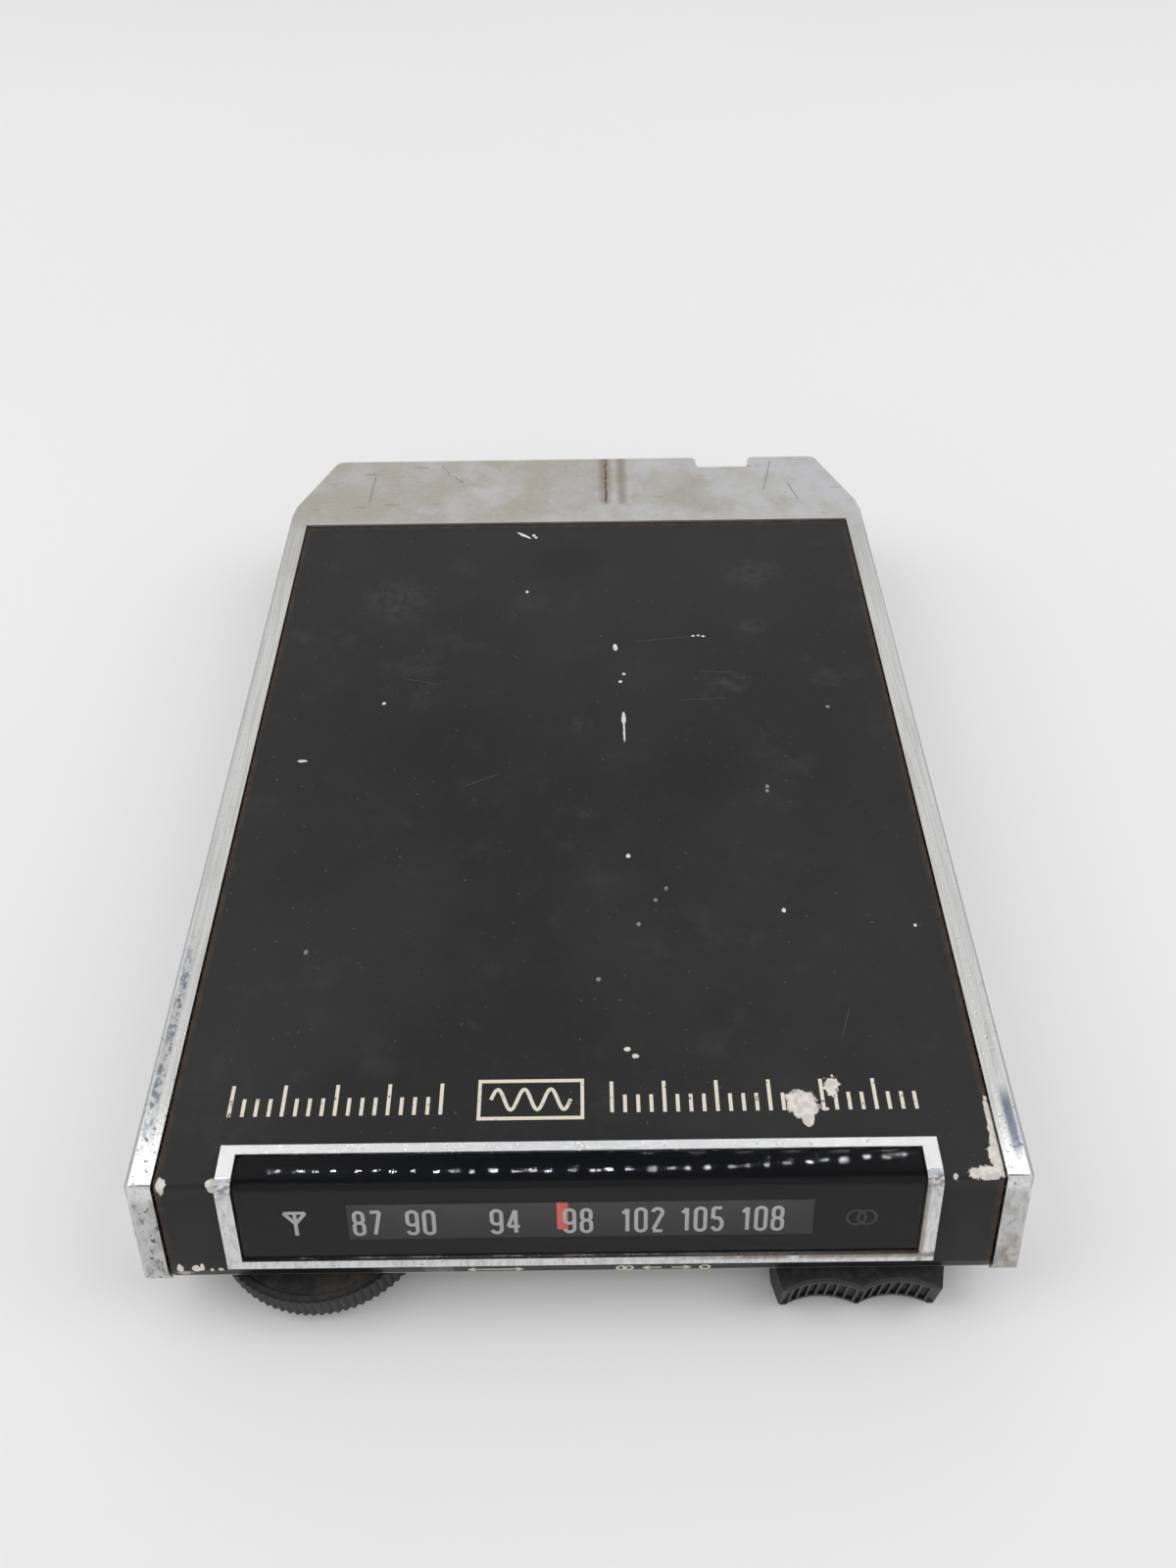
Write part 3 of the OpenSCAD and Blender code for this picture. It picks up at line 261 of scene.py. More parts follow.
def reworked(node, material, round_off=0.0, shortest=1.0, sharp=35, wide=0.0, wide_at=()):
    """The CAD node as a merged, smooth piece with its long sharp edges rounded off, in its place.

    The edges that lie at one of the distances wide_at from the middle get the wide bevel."""
    shape = bmesh.new()
    shape.from_mesh(nodes[node].data)
    bmesh.ops.remove_doubles(shape, verts=shape.verts, dist=MERGE * MM)
    bmesh.ops.dissolve_limit(shape, angle_limit=math.radians(FLAT_ANGLE), verts=shape.verts,
                             edges=shape.edges)
    limit = math.radians(sharp)
    if wide:
        edges = [e for e in shape.edges if e.is_convex and e.calc_face_angle(0) > limit
                 and any(all(abs(abs(v.co.x) / MM - at) < AT_EDGE for v in e.verts) for at in wide_at)]
        bevel(shape, edges, wide)
    if round_off:
        edges = [e for e in shape.edges if e.calc_face_angle(0) > limit and e.calc_length() > shortest * MM]
        bevel(shape, edges, round_off)
    for face in shape.faces:
        face.smooth = True
    for edge in shape.edges:
        edge.smooth = edge.calc_face_angle(0) < limit
    mesh = bpy.data.meshes.new(node + "_finished")
    shape.to_mesh(mesh)
    shape.free()
    mesh.materials.append(material)
    piece = bpy.data.objects.new(node + "_finished", mesh)
    scene.collection.objects.link(piece)
    flat = piece.modifiers.new("flat_faces", "WEIGHTED_NORMAL")
    flat.keep_sharp = True
    flat.weight = 100
    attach(piece, nodes[node]["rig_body"])
    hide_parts(node)


band_y = bend_y + COVER_LENGTH
RAIL_X = 48.1
half_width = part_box("case_frame")[1].x / MM
casting, shader, place = new_finish("plated_casting")
x, y, z = (place.axis(name) for name in "XYZ")
on_band = y.rise(band_y - 3, band_y + 3)
patchy = place.noise(0.12, 4.0)
rubbed = (y + (patchy - 0.5) * 30).rise(band_y - 30, band_y + 2)
olive = (place.moved(30, 0, 0).noise(0.09, 4.0, 0.6) - x * 0.002).rise(0.34, 0.62) * on_band
bluish = (place.moved(0, 50, 0).noise(0.13, 4.0, 0.6) + x * 0.002).rise(0.50, 0.68) * on_band
STRIPE_X, SECOND_STRIPE_X, RUST_X = 5.3, 8.4, 5.5
rust_reach = y.rise(band_y + 4.5, band_y + 6.5)
stripe = (x.near(STRIPE_X, 0.9, 0.7) * 0.6).either(x.near(SECOND_STRIPE_X, 0.75, 0.6) * 0.55) * rust_reach
rust_line = (x + (place.noise(0.8, 4.0, 0.65) - 0.5) * 0.9).near(RUST_X, 0.2, 0.16) * rust_reach
rust_line = rust_line * (0.3 + place.noise(0.55, 4.0, 0.7).rise(0.40, 0.58) * 0.7)
brushed = place.scaled(0.35, 2.6, 1.0).noise(1.6, 4.0)
dashes = place.scaled(0.3, 1.3, 1.0).noise(1.1, 2.0).rise(0.70, 0.74)


def scratch(place, across_mm, back, long, turn, wide=0.09, wobble=0.4):
    """Mask of one scratch on the top face, by its middle, length and turn, in millimetres and degrees."""
    spot = place.moved(-across_mm, -bend_y - back, 0).turned(-turn)
    aside = spot.axis("Y") + (place.noise(0.7, 3.0) - 0.5) * wobble
    return aside.near(0, wide, wide * 0.6) * spot.axis("X").near(0, long / 2, 0.4)


BAND_SCRATCHES = (
    (-37.4, 130.6, 8.0, 88), (-38.3, 135.3, 2.2, 0), (-33.4, 125.8, 2.4, -4), (-38.9, 125.2, 1.9, -6),
    (32.1, 136.5, 1.3, -10), (35.4, 133.6, 9.4, 77), (39.6, 128.4, 5.5, 106), (-29.0, 137.2, 2.6, 3))
cracks = scratch(place, -23.1, 135.0, 6.9, -48, wobble=2.4)
for across_mm, back, long, turn in BAND_SCRATCHES:
    cracks = cracks.either(scratch(place, across_mm, back, long, turn))
front = y.fall(bend_y - 1.2, bend_y - 0.4)
near_nose = y.fall(bend_y, bend_y + 40)
mottled = place.noise(2.0, 4.0, 0.65).rise(0.55, 0.72) * (1 - front)
pits = place.noise(1.5, 3.0).rise(0.62, 0.69) * (0.2 + near_nose * 0.8) * (1 - rubbed) * (1 - front)
pits = pits * (1 - abs(x).rise(half_width - 0.3, half_width - 0.1) * 0.6)
pitted = front * (0.25 + x.fall(-1, 1) * 0.75)
slashes = place.scaled(2.2, 0.7, 0.7).noise(0.9, 3.0, 0.6).rise(0.59, 0.65) * pitted
spots = place.moved(0, 0, 40).noise(1.1, 3.0, 0.6).rise(0.61, 0.67) * pitted
dulled = place.scaled(1.0, 1.0, 0.5).noise(0.9, 4.0, 0.6).rise(0.40, 0.65) * front
# Painted reflection: dark blue-grey streaks along the rails' tops, on the left and near the nose on the
# right.
rail_reflection = (0.18 + place.scaled(1.2, 0.6, 1.0).noise(1.3, 4.0, 0.65).rise(0.46, 0.57) * 0.82) * x.fall(-1, 0)
LEFT_REFLECTION, RIGHT_REFLECTION, REFLECTION_INSET = 18, 6.5, 1.35
rail_reflection = rail_reflection * y.near(bend_y + LEFT_REFLECTION, 13, 7)
rail_reflection = rail_reflection.either(y.near(bend_y + RIGHT_REFLECTION, 3.8, 1.6) * x.rise(0, 1))
rail_reflection = rail_reflection * abs(x).near(half_width - REFLECTION_INSET, 0.55, 0.25)
upper = z.rise(18, 19)
# Painted reflection: a darker bluish-grey line along the outer bevel of the top edges.
outer_line = abs(x).rise(half_width - 0.60, half_width - 0.30) * upper
on_rail = abs(x).rise(RAIL_X - 0.2, RAIL_X + 0.2) * upper * (1 - on_band)
drawn = place.scaled(1.6, 0.05, 1.0).noise(1.5, 4.0, 0.6).rise(0.44, 0.62) * on_rail
BROWN_X, BROWN_Z = 45.5, 11.25
browned = x.rise(BROWN_X - 1, BROWN_X + 1) * z.fall(BROWN_Z - 1.75, BROWN_Z + 1.75) * front
browned = browned * place.noise(0.6, 3.0).rise(0.35, 0.6)
bare = rubbed.tint((0.80, 0.80, 0.80), (0.62, 0.615, 0.60))
# Painted shade: the frame's front faces at the nose are painted darker than its top.
bare = (front * 0.85).tint(bare, (0.53, 0.53, 0.525))
bare = (dulled * 0.65).tint(bare, (0.32, 0.32, 0.315))
bare = (mottled * (0.30 + near_nose * 0.35)).tint(bare, (0.44, 0.44, 0.43))
# Painted reflection: the dark blue-grey streaks on the rails.
bare = (rail_reflection * 0.85).tint(bare, (0.11, 0.145, 0.22))
bare = (drawn * 0.35).tint(bare, (0.46, 0.465, 0.43))
# Painted reflection on the outer bevel.
bare = (outer_line * 0.85).tint(bare, (0.33, 0.35, 0.38))
bare = (olive * 0.60).tint(bare, (0.46, 0.43, 0.345))
bare = (bluish * 0.55).tint(bare, (0.70, 0.71, 0.76))
bare = (brushed.rise(0.55, 0.68) * rubbed * 0.30).tint(bare, (0.80, 0.80, 0.79))
bare = (cracks.either(dashes * 0.6) * on_band * 0.75).tint(bare, (0.20, 0.19, 0.17))
bare = stripe.tint(bare, (0.27, 0.22, 0.16))
bare = (rust_line * 0.85).tint(bare, (0.09, 0.05, 0.03))
bare = (browned * 0.55).tint(bare, (0.24, 0.17, 0.11))
bare = (pits * 0.8).tint(bare, (0.18, 0.17, 0.16))
bare = (slashes.either(spots) * 0.85).tint(bare, (0.08, 0.08, 0.08))
grain = place.noise(2.2, 4.0)
place.fill(shader, {
    "Base Color": bare,
    "Metallic": 1.0,
    "Roughness": 0.12 + front * 0.14 + rubbed * 0.34 + pits * 0.4 + (grain - 0.5) * 0.14 + mottled * 0.12,
    "Normal": (grain * (0.15 + rubbed * 0.4) + brushed * rubbed * 0.3 - pits - slashes).bump(0.06, 0.5),
})
reworked("case_frame", casting, round_off=0.16, shortest=3.0, wide=0.5,
         wide_at=(RAIL_X, half_width))


# Dial chassis: a pressed steel bracket with a shelf, a web and a deck, zinc plated, screwed to two
# posts of the frame. The mode switch, whose shell is the same sheet, and the drive hang on it; the
# head's bracket at the far end is pressed from it too.
def dress(material, *names):
    """Gives CAD nodes their finish, in place."""
    for name in names:
        for held in nodes[name].material_slots:
            held.material = material


def even_finish(name, colour, deeper, scale, roughness, metallic, spread=0.12, height=0.02):
    """A finish of one colour with fine cloudiness, for small pieces and pieces out of sight."""
    material, shader, place = new_finish(name)
    cloud = place.noise(scale, 4.0)
    place.fill(shader, {
        "Base Color": cloud.tint(deeper, colour),
        "Roughness": roughness + (cloud - 0.5) * spread,
        "Metallic": metallic,
        "Normal": cloud.bump(height, 0.4),
    })
    return material


plated_sheet = even_finish("plated_sheet", (0.62, 0.61, 0.57), (0.46, 0.45, 0.40), 0.8, 0.38, 1.0)
dress(plated_sheet, "dial_chassis", "switch_shell", "head_bracket")

# Screws, spindle, rail and posts: turned and headed steel, bright plated.
# The screws hold covers, board, brackets and wheel; the rail and the spindle carry the dial drive.
bright_steel = even_finish("bright_steel", (0.72, 0.72, 0.71), (0.56, 0.56, 0.55), 2.5, 0.25, 1.0)
dress(bright_steel, "bottom_screws", "dial_plate_screws", "chassis_screws", "pointer_rail",
      "tuning_spindle", "wheel_screw", "drum_screw", "pulley_post", "switch_screws", "board_screws",
      "end_screws")

# Bushes, capacitor shaft, tuning cores and spring contacts: turned or rolled brass, gone dull.
# The bushes are pressed into the chassis, and the contacts sit on the face of their block.
turned_brass = even_finish("turned_brass", (0.74, 0.57, 0.29), (0.34, 0.23, 0.10), 0.6, 0.3, 1.0, 0.3)
dress(turned_brass, "spindle_bushes", "capacitor_shaft", "can_cores", "contact_springs")

# Drum, pulley, carriage, switch slider and tuning capacitor: moulded ivory plastic.
# The drum is screwed to the capacitor's shaft; the pulley turns on its post, the carriage rides the rail.
ivory_plastic = even_finish("ivory_plastic", (0.74, 0.71, 0.60), (0.66, 0.62, 0.50), 0.3, 0.45, 0.0)
dress(ivory_plastic, "pointer_carriage", "cord_drum", "cord_pulley", "switch_slider", "tuning_capacitor")

# Dial cord: one closed loop of braided thread round the spindle, the pulley and the drum.
# It takes a turn and more round drum and spindle, and the pointer's carriage grips its straight run.
braid, shader, place = new_finish("braided_thread")
plait = place.scaled(1.0, 1.0, 1.6).noise(4.5, 2.0).rise(0.35, 0.65)
place.fill(shader, {
    "Base Color": plait.tint((0.52, 0.46, 0.33), (0.76, 0.70, 0.54)),
    "Roughness": 0.8,
    "Normal": plait.bump(0.05),
})
reworked("dial_cord", braid, sharp=80)

# Pointer: a blade moulded in red plastic, fixed to the carriage behind the scale.
# It has a faint painted glow (emission), so that the blade shows through the dark lens.
pointer_red, shader, place = new_finish("pointer_red")
fade = place.noise(0.6, 3.0)
place.fill(shader, {
    "Base Color": fade.tint((0.86, 0.11, 0.085), (0.93, 0.16, 0.13)),
    "Roughness": 0.35 + fade * 0.2,
    # Painted glow: the pointer is no lamp.
    "Emission Color": (1.0, 0.11, 0.09, 1),
    "Emission Strength": 0.25,
})
reworked("dial_pointer", pointer_red, round_off=0.1, shortest=0.3)

# Dial plate: a steel plate in matt black paint that closes the scale from behind.
# Its flange is screwed to the chassis' shelf, behind the pointer's blade.
dial_black = even_finish("dial_black", (0.040, 0.040, 0.042), (0.028, 0.028, 0.030), 0.5, 0.6, 0.0)
dress(dial_black, "dial_plate")

# Stereo lamp and its holder: a small clear glass bulb in a moulded black sleeve.
# The sleeve is pushed through the chassis' web, behind the lamp window of the mask.
lamp_glass, shader, place = new_finish("lamp_glass")
haze = place.noise(1.5, 2.0)
place.fill(shader, {
    "Base Color": haze.tint((0.93, 0.91, 0.85), (0.99, 0.98, 0.95)),
    "Roughness": haze * 0.1,
    "Transmission Weight": 0.9,
})
dress(lamp_glass, "stereo_lamp")
black_moulding = even_finish("black_moulding", (0.030, 0.030, 0.031), (0.020, 0.020, 0.021), 1.2, 0.5, 0.0)
dress(black_moulding, "lamp_holder")

# Dial mask: a black card behind the lens with the scale window and the lamp window.
# It is punched from one sheet, folded over the bend and laid on the back of the lens.
mask_black = even_finish("mask_black", (0.012, 0.012, 0.013), (0.007, 0.007, 0.008), 0.8, 0.45, 0.0)
dress(mask_black, "dial_mask")

# Lens print: black ink on the back and the edges of the lens, with the scale window left clear.
# It covers the edge of the mask and the strip that wraps over the bend.
LEAN = math.radians(24.4)
top_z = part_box("case_frame")[1].z / MM
PRINT_OUT = -1.97


def on_nose(across, down, out):
    """Point on the leaning face in metres: across, down the face from the bend and out of the face."""
    return Vector((across, bend_y - down * math.sin(LEAN) - out * math.cos(LEAN),
                   top_z - down * math.cos(LEAN) + out * math.sin(LEAN))) * MM


def on_top(across, back, out):
    """Point on the top face in metres: across, behind the bend and out of the face."""
    return Vector((across, bend_y + back, top_z + out)) * MM


def add_piece(name, shape, material, body):
    """A finished bmesh as a piece of the object."""
    bmesh.ops.recalc_face_normals(shape, faces=shape.faces)
    mesh = bpy.data.meshes.new(name)
    shape.to_mesh(mesh)
    shape.free()
    mesh.materials.append(material)
    piece = bpy.data.objects.new(name, mesh)
    scene.collection.objects.link(piece)
    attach(piece, body)


ink_black, shader, place = new_finish("ink_black")
place.fill(shader, {
    "Base Color": place.noise(0.7, 3.0).tint((0.003, 0.003, 0.003), (0.006, 0.006, 0.006)),
    "Roughness": 0.7,
    "Specular IOR Level": 0.0,
})
PRINT_HALF, PRINT_BACK, PRINT_DOWN, PRINT_SIDE, PRINT_THICK = 38.75, 3.25, 10.6, 1.85, 0.01
WINDOW_LEFT, WINDOW_RIGHT, WINDOW_UPPER, WINDOW_LOWER = -26.7, 26.9, 3.9, 9.15
bend_out = PRINT_OUT * math.tan((math.pi / 2 - LEAN) / 2)
film = bmesh.new()
edge_start = [film.verts.new(on_top(side * PRINT_HALF, PRINT_BACK, PRINT_OUT)) for side in (-1, 1)]
border = film.edges.new(edge_start)
for stop in (on_top(0, -bend_out, PRINT_OUT), on_nose(0, PRINT_DOWN, PRINT_OUT)):
    grown = bmesh.ops.extrude_edge_only(film, edges=[border])["geom"]
    border = next(g for g in grown if isinstance(g, bmesh.types.BMEdge) and all(v in grown for v in g.verts))
    for corner in border.verts:
        corner.co = Vector((corner.co.x, stop.y, stop.z))
rim = bmesh.ops.extrude_edge_only(film, edges=[e for e in film.edges if e.is_boundary])["geom"]
for corner in (g for g in rim if isinstance(g, bmesh.types.BMVert)):
    down = (bend_y - corner.co.y / MM) / math.sin(LEAN)
    if corner.co.y > edge_start[0].co.y - 0.1 * MM:
        corner.co.z += PRINT_SIDE * MM
    elif down > PRINT_DOWN / 2:
        corner.co += on_nose(0, 0, PRINT_SIDE) - on_nose(0, 0, 0)
    else:
        corner.co += on_top(0, -PRINT_SIDE / PRINT_OUT * bend_out, PRINT_SIDE) - on_top(0, 0, 0)
slope = Vector((0, -math.sin(LEAN), -math.cos(LEAN)))
for centre, normal in ((Vector((WINDOW_LEFT, 0, 0)) * MM, Vector((1, 0, 0))),
                       (Vector((WINDOW_RIGHT, 0, 0)) * MM, Vector((1, 0, 0))),
                       (on_nose(0, WINDOW_UPPER, 0), slope), (on_nose(0, WINDOW_LOWER, 0), slope)):
    bmesh.ops.bisect_plane(film, geom=film.verts[:] + film.edges[:] + film.faces[:], dist=1e-7,
                           plane_co=centre, plane_no=normal)
clear_middle = on_nose((WINDOW_LEFT + WINDOW_RIGHT) / 2, (WINDOW_UPPER + WINDOW_LOWER) / 2, PRINT_OUT)
clear = min(film.faces, key=lambda face: (face.calc_center_median() - clear_middle).length)
bmesh.ops.delete(film, geom=[clear], context="FACES")
bmesh.ops.recalc_face_normals(film, faces=film.faces)
bmesh.ops.solidify(film, geom=film.faces[:], thickness=PRINT_THICK * MM)
add_piece("lens_print", film, ink_black, "case")

# Dial numbers and marks: light print on the back of the lens, in narrow round-ended strokes.
# An aerial sign stands left of the scale and a faint sign of two rings before the lamp.
print_white, shader, place = new_finish("print_white")
wear = place.noise(2.4, 3.0)
place.fill(shader, {
    "Base Color": wear.tint((0.84, 0.84, 0.82), (0.97, 0.97, 0.95)),
    "Roughness": 0.5 + wear * 0.2,
})
print_faint, shader, place = new_finish("print_faint")
wear = place.noise(2.4, 3.0)
place.fill(shader, {
    "Base Color": wear.tint((0.030, 0.030, 0.032), (0.060, 0.060, 0.064)),
    "Roughness": 0.5 + wear * 0.2,
})


INK_THICK = 0.012


def arc(centre_x, centre_y, wide, tall, start, stop, steps=10):
    """Points along part of an ellipse, angles in degrees."""
    turns = [math.radians(start + (stop - start) * n / steps) for n in range(steps + 1)]
    return [(centre_x + wide * math.cos(turn), centre_y + tall * math.sin(turn)) for turn in turns]


def stroke(points, width):
    """A flat ribbon along points, in millimetres, closed where they end at their start."""
    closed = math.dist(points[0], points[-1]) < 1e-6
    points = points[:-1] if closed else points
    curve = bpy.data.curves.new("stroke", "CURVE")
    curve.dimensions = "3D"
    curve.fill_mode = "FULL"
    curve.bevel_depth = width / 2
    curve.bevel_resolution = 2
    curve.use_fill_caps = True
    line = curve.splines.new("POLY")
    line.points.add(len(points) - 1)
    line.use_cyclic_u = closed
    for knot, (along, up) in zip(line.points, points):
        knot.co = (along, up, 0, 1)
    draft = bpy.data.objects.new("stroke", curve)
    scene.collection.objects.link(draft)
    mesh = bpy.data.meshes.new_from_object(draft.evaluated_get(bpy.context.evaluated_depsgraph_get()))
    bpy.data.objects.remove(draft)
    bpy.data.curves.remove(curve)
    mesh.transform(Matrix.Diagonal((1, 1, INK_THICK / width, 1)))
    return mesh


TALL, WIDE, INK = 1.70, 0.55, 0.47
upright = arc(0, TALL - WIDE, WIDE, WIDE, 0, 180) + arc(0, WIDE - TALL, WIDE, WIDE, 180, 360)
upper_loop = arc(0, 1.18, 0.50, 0.50, 0, 180) + arc(0, 0.56, 0.50, 0.50, 180, 360)
lower_loop = arc(0, -0.48, WIDE, WIDE, 0, 180) + arc(0, WIDE - TALL, WIDE, WIDE, 180, 360)
nine_loop = arc(0, TALL - WIDE, WIDE, WIDE, 0, 180) + arc(0, 0.18, WIDE, WIDE, 180, 360)
digits = {
    "0": [upright + upright[:1]],
    "1": [[(0.12, -TALL), (0.12, TALL)], [(0.12, TALL - 0.05), (-0.40, 1.0)]],
    "2": [arc(0, TALL - WIDE, WIDE, WIDE, 175, -25) + [(-0.48, -TALL + 0.25)],
          [(-WIDE, -TALL), (WIDE, -TALL)]],
    "4": [[(0.28, -TALL), (0.28, TALL)], [(0.22, TALL), (-0.60, -0.70)], [(-0.62, -0.74), (0.70, -0.74)]],
    "5": [[(-0.46, TALL), (0.52, TALL)], [(-0.46, TALL), (-0.50, 0.10)],
          arc(-0.02, -0.72, 0.58, 0.96, 130, -155)],
    "7": [[(-WIDE, TALL), (WIDE, TALL)], [(0.52, TALL), (-0.14, -TALL)]],
    "8": [upper_loop + upper_loop[:1], lower_loop + lower_loop[:1]],
    "9": [nine_loop + nine_loop[:1],
          [(WIDE, TALL - WIDE), (WIDE, WIDE - TALL)] + arc(0, WIDE - TALL, WIDE, WIDE, 0, -170)[1:]],
}
DIGIT_STEP, ONE_STEP = 1.93, 1.42
SCALE_DOWN, SCALE_OUT = 6.7, -1.985
across = Vector((1, 0, 0))
up_face = Vector((0, math.sin(LEAN), math.cos(LEAN)))
face_turn = Matrix((across, up_face, across.cross(up_face))).transposed().to_4x4()


def add_stroke(shape, points, width, at_x, at_down, out):
    """Adds one ribbon to a shape on the leaning face, centred at a place on it."""
    ribbon = stroke(points, width)
    ribbon.transform(Matrix.Translation(on_nose(at_x, at_down, out)) @ face_turn @ Matrix.Scale(MM, 4))
    shape.from_mesh(ribbon)
    bpy.data.meshes.remove(ribbon)


scale = {"87": -24.45, "90": -18.3, "94": -8.6, "98": -0.2, "102": 7.3, "105": 14.15, "108": 21.1}
numbers = bmesh.new()
for text, middle in scale.items():
    steps = [ONE_STEP if digit == "1" else DIGIT_STEP for digit in text]
    left = middle - sum(steps) / 2
    for digit, step in zip(text, steps):
        for points in digits[digit]:
            add_stroke(numbers, points, INK, left + step / 2, SCALE_DOWN, SCALE_OUT)
        left += step
FILM_FRONT = PRINT_OUT + 0.02
AERIAL_X, AERIAL_HALF, AERIAL_FORK = -32.7, 1.25, 0.1
for points in ([(-AERIAL_HALF, TALL), (AERIAL_HALF, TALL)], [(-AERIAL_HALF, TALL), (0, AERIAL_FORK)],
               [(AERIAL_HALF, TALL), (0, AERIAL_FORK)], [(0, TALL), (0, -TALL)]):
    add_stroke(numbers, points, INK, AERIAL_X, SCALE_DOWN, FILM_FRONT)
add_piece("dial_numbers", numbers, print_white, "case")
RINGS_X, RING_SHIFT, RING_RADIUS, RING_LINE, RING_STEPS = 32.45, 0.62, 1.05, 0.34, 24
rings = bmesh.new()
for shift in (-RING_SHIFT, RING_SHIFT):
    add_stroke(rings, arc(shift, 0, RING_RADIUS, RING_RADIUS, 0, 360, RING_STEPS), RING_LINE, RINGS_X,
               SCALE_DOWN, FILM_FRONT)
add_piece("ring_sign", rings, print_faint, "case")

# Dial lens: a thick clear acrylic moulding that wraps over the bend, polished and finely scratched.
# Its flange lies under the cover, round the opening that the bezel frames.
lens_clear, shader, place = new_finish("clear_lens")
hairlines = place.scaled(0.3, 5.0, 2.0).noise(2.0, 3.0).rise(0.64, 0.7)
specks = place.noise(5.0, 2.0).rise(0.68, 0.74)
ripple = place.scaled(1.0, 2.0, 1.0).noise(1.6, 3.0, 0.6)
place.fill(shader, {
    "Base Color": place.noise(0.2, 2.0).tint((0.92, 0.92, 0.93), (0.97, 0.97, 0.97)),
    "Roughness": 0.02 + hairlines * 0.04 + specks * 0.15,
    "IOR": 1.49,
    "Specular Tint": (0.5, 0.5, 0.52, 1),
    "Transmission Weight": 1.0,
    "Normal": (ripple * 0.12 + hairlines * 0.1 + specks * 0.3).bump(0.01, 0.5),
})
reworked("dial_lens", lens_clear, round_off=0.12, shortest=1.0)

# Dial bezel: a die-cast frame round the lens, bright chromed, pinned through the cover.
# Its face is spotted and streaked, and brown dirt sits along its lower edge. Its leaning face is painted
# darker as painted shade, and a painted dark reflection runs along the bend.
chrome, shader, place = new_finish("chrome_trim")
x, y, z = (place.axis(name) for name in "XYZ")
spots = place.noise(1.8, 4.0).rise(0.64, 0.72)
breath = place.noise(0.5, 3.0)
leaning = y.fall(bend_y - 1.0, bend_y + 0.2)
streaked = place.scaled(1.6, 0.5, 0.5).noise(1.2, 4.0, 0.6).rise(0.42, 0.66) * leaning
DIRT_X, DIRT_DOWN = 39.1, 9.65
dirt = x.rise(6, 20) * z.near(top_z - DIRT_DOWN, 0.35, 0.2) * place.noise(0.7, 3.0).rise(0.25, 0.5)
dirt = dirt.either(x.near(DIRT_X, 0.35, 0.2) * leaning * 0.8)
# Painted reflection: a dark bluish band along the bend.
bend_reflection = y.near(bend_y - 0.3, 0.7, 0.5) * place.scaled(1.0, 2.0, 1.0).noise(1.3, 3.0).rise(0.40, 0.58)
# Painted shade: the leaning face is painted darker than the top.
plating = leaning.tint((0.84, 0.835, 0.825), (0.72, 0.725, 0.73))
plating = (streaked * 0.5).tint(plating, (0.40, 0.40, 0.40))
plating = (bend_reflection * 0.75).tint(plating, (0.22, 0.22, 0.25))
plating = (spots * 0.75).tint(plating, (0.30, 0.28, 0.25))
place.fill(shader, {
    "Base Color": (dirt * 0.7).tint(plating, (0.20, 0.15, 0.10)),
    "Metallic": 1.0,
    "Roughness": 0.20 + breath * 0.10 + spots * 0.3 + dirt * 0.3,
    "Normal": (breath * 0.6 - spots).bump(0.03, 0.5),
})
reworked("dial_bezel", chrome, round_off=0.42, shortest=0.5)

# Circuit board: brown paper laminate, cut to shape and screwed to blocks in the frame.
# It carries the circuit's parts on its upper side.
board_brown = even_finish("board_brown", (0.36, 0.22, 0.10), (0.26, 0.15, 0.06), 0.7, 0.5, 0.0)
dress(board_brown, "circuit_board")

# Cans and shield: drawn aluminium boxes, soldered to the board by their lugs.
# Their flanks stay as the press left them, a little cloudy.
drawn_metal = even_finish("drawn_metal", (0.74, 0.74, 0.72), (0.62, 0.62, 0.60), 1.0, 0.32, 1.0)
dress(drawn_metal, "if_cans", "front_end_shield")

# Coupling head: two laminated iron poles in a drawn shell, lapped to one smooth round face.
# A fine gap runs across both poles; the face is rubbed by the player's own head.
head_metal, shader, place = new_finish("lapped_head")
x, z = place.axis("X"), place.axis("Z")
head_low, head_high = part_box("coupling_head")
head_tall = (head_high.z - head_low.z) / MM
from_middle = abs(z - (head_low.z + head_high.z) / 2 / MM)
POLE_HALF_LONG, GAP_HALF = 3.45, 0.09
poles = from_middle.near(head_tall * 0.22, head_tall * 0.09, 0.05)
poles = poles * abs(x).fall(POLE_HALF_LONG - 0.05, POLE_HALF_LONG + 0.05)
gap = x.near(0, GAP_HALF, 0.04) * poles
laps = place.scaled(0.15, 1.0, 5.0).noise(1.2, 4.0, 0.6)
worn = place.moved(0, 9, 0).noise(0.35, 4.0, 0.6).rise(0.40, 0.65)
lapped = laps.tint((0.50, 0.50, 0.49), (0.76, 0.76, 0.74))
lapped = (worn * 0.35).tint(lapped, (0.40, 0.36, 0.30))
lapped = (poles * 0.75).tint(lapped, (0.30, 0.29, 0.28))
place.fill(shader, {
    "Base Color": gap.tint(lapped, (0.05, 0.045, 0.04)),
    "Metallic": 1.0,
    "Roughness": 0.22 + laps * 0.16 + poles * 0.1,
    "Normal": (laps * 0.5 - gap).bump(0.02, 0.5),
})
dress(head_metal, "coupling_head")

# Air coils: enamelled copper wire, wound round formers by hand.
# They stand upright on the board.
enamel_copper = even_finish("enamel_copper", (0.66, 0.33, 0.16), (0.48, 0.20, 0.08), 2.0, 0.3, 1.0)
dress(enamel_copper, "rf_coils")

# Transistors and decoder: moulded in black resin round their leads.
# They are soldered to the board.
chip_black = even_finish("chip_black", (0.026, 0.026, 0.028), (0.016, 0.016, 0.018), 2.0, 0.6, 0.0)
dress(chip_black, "transistors", "decoder_chip")

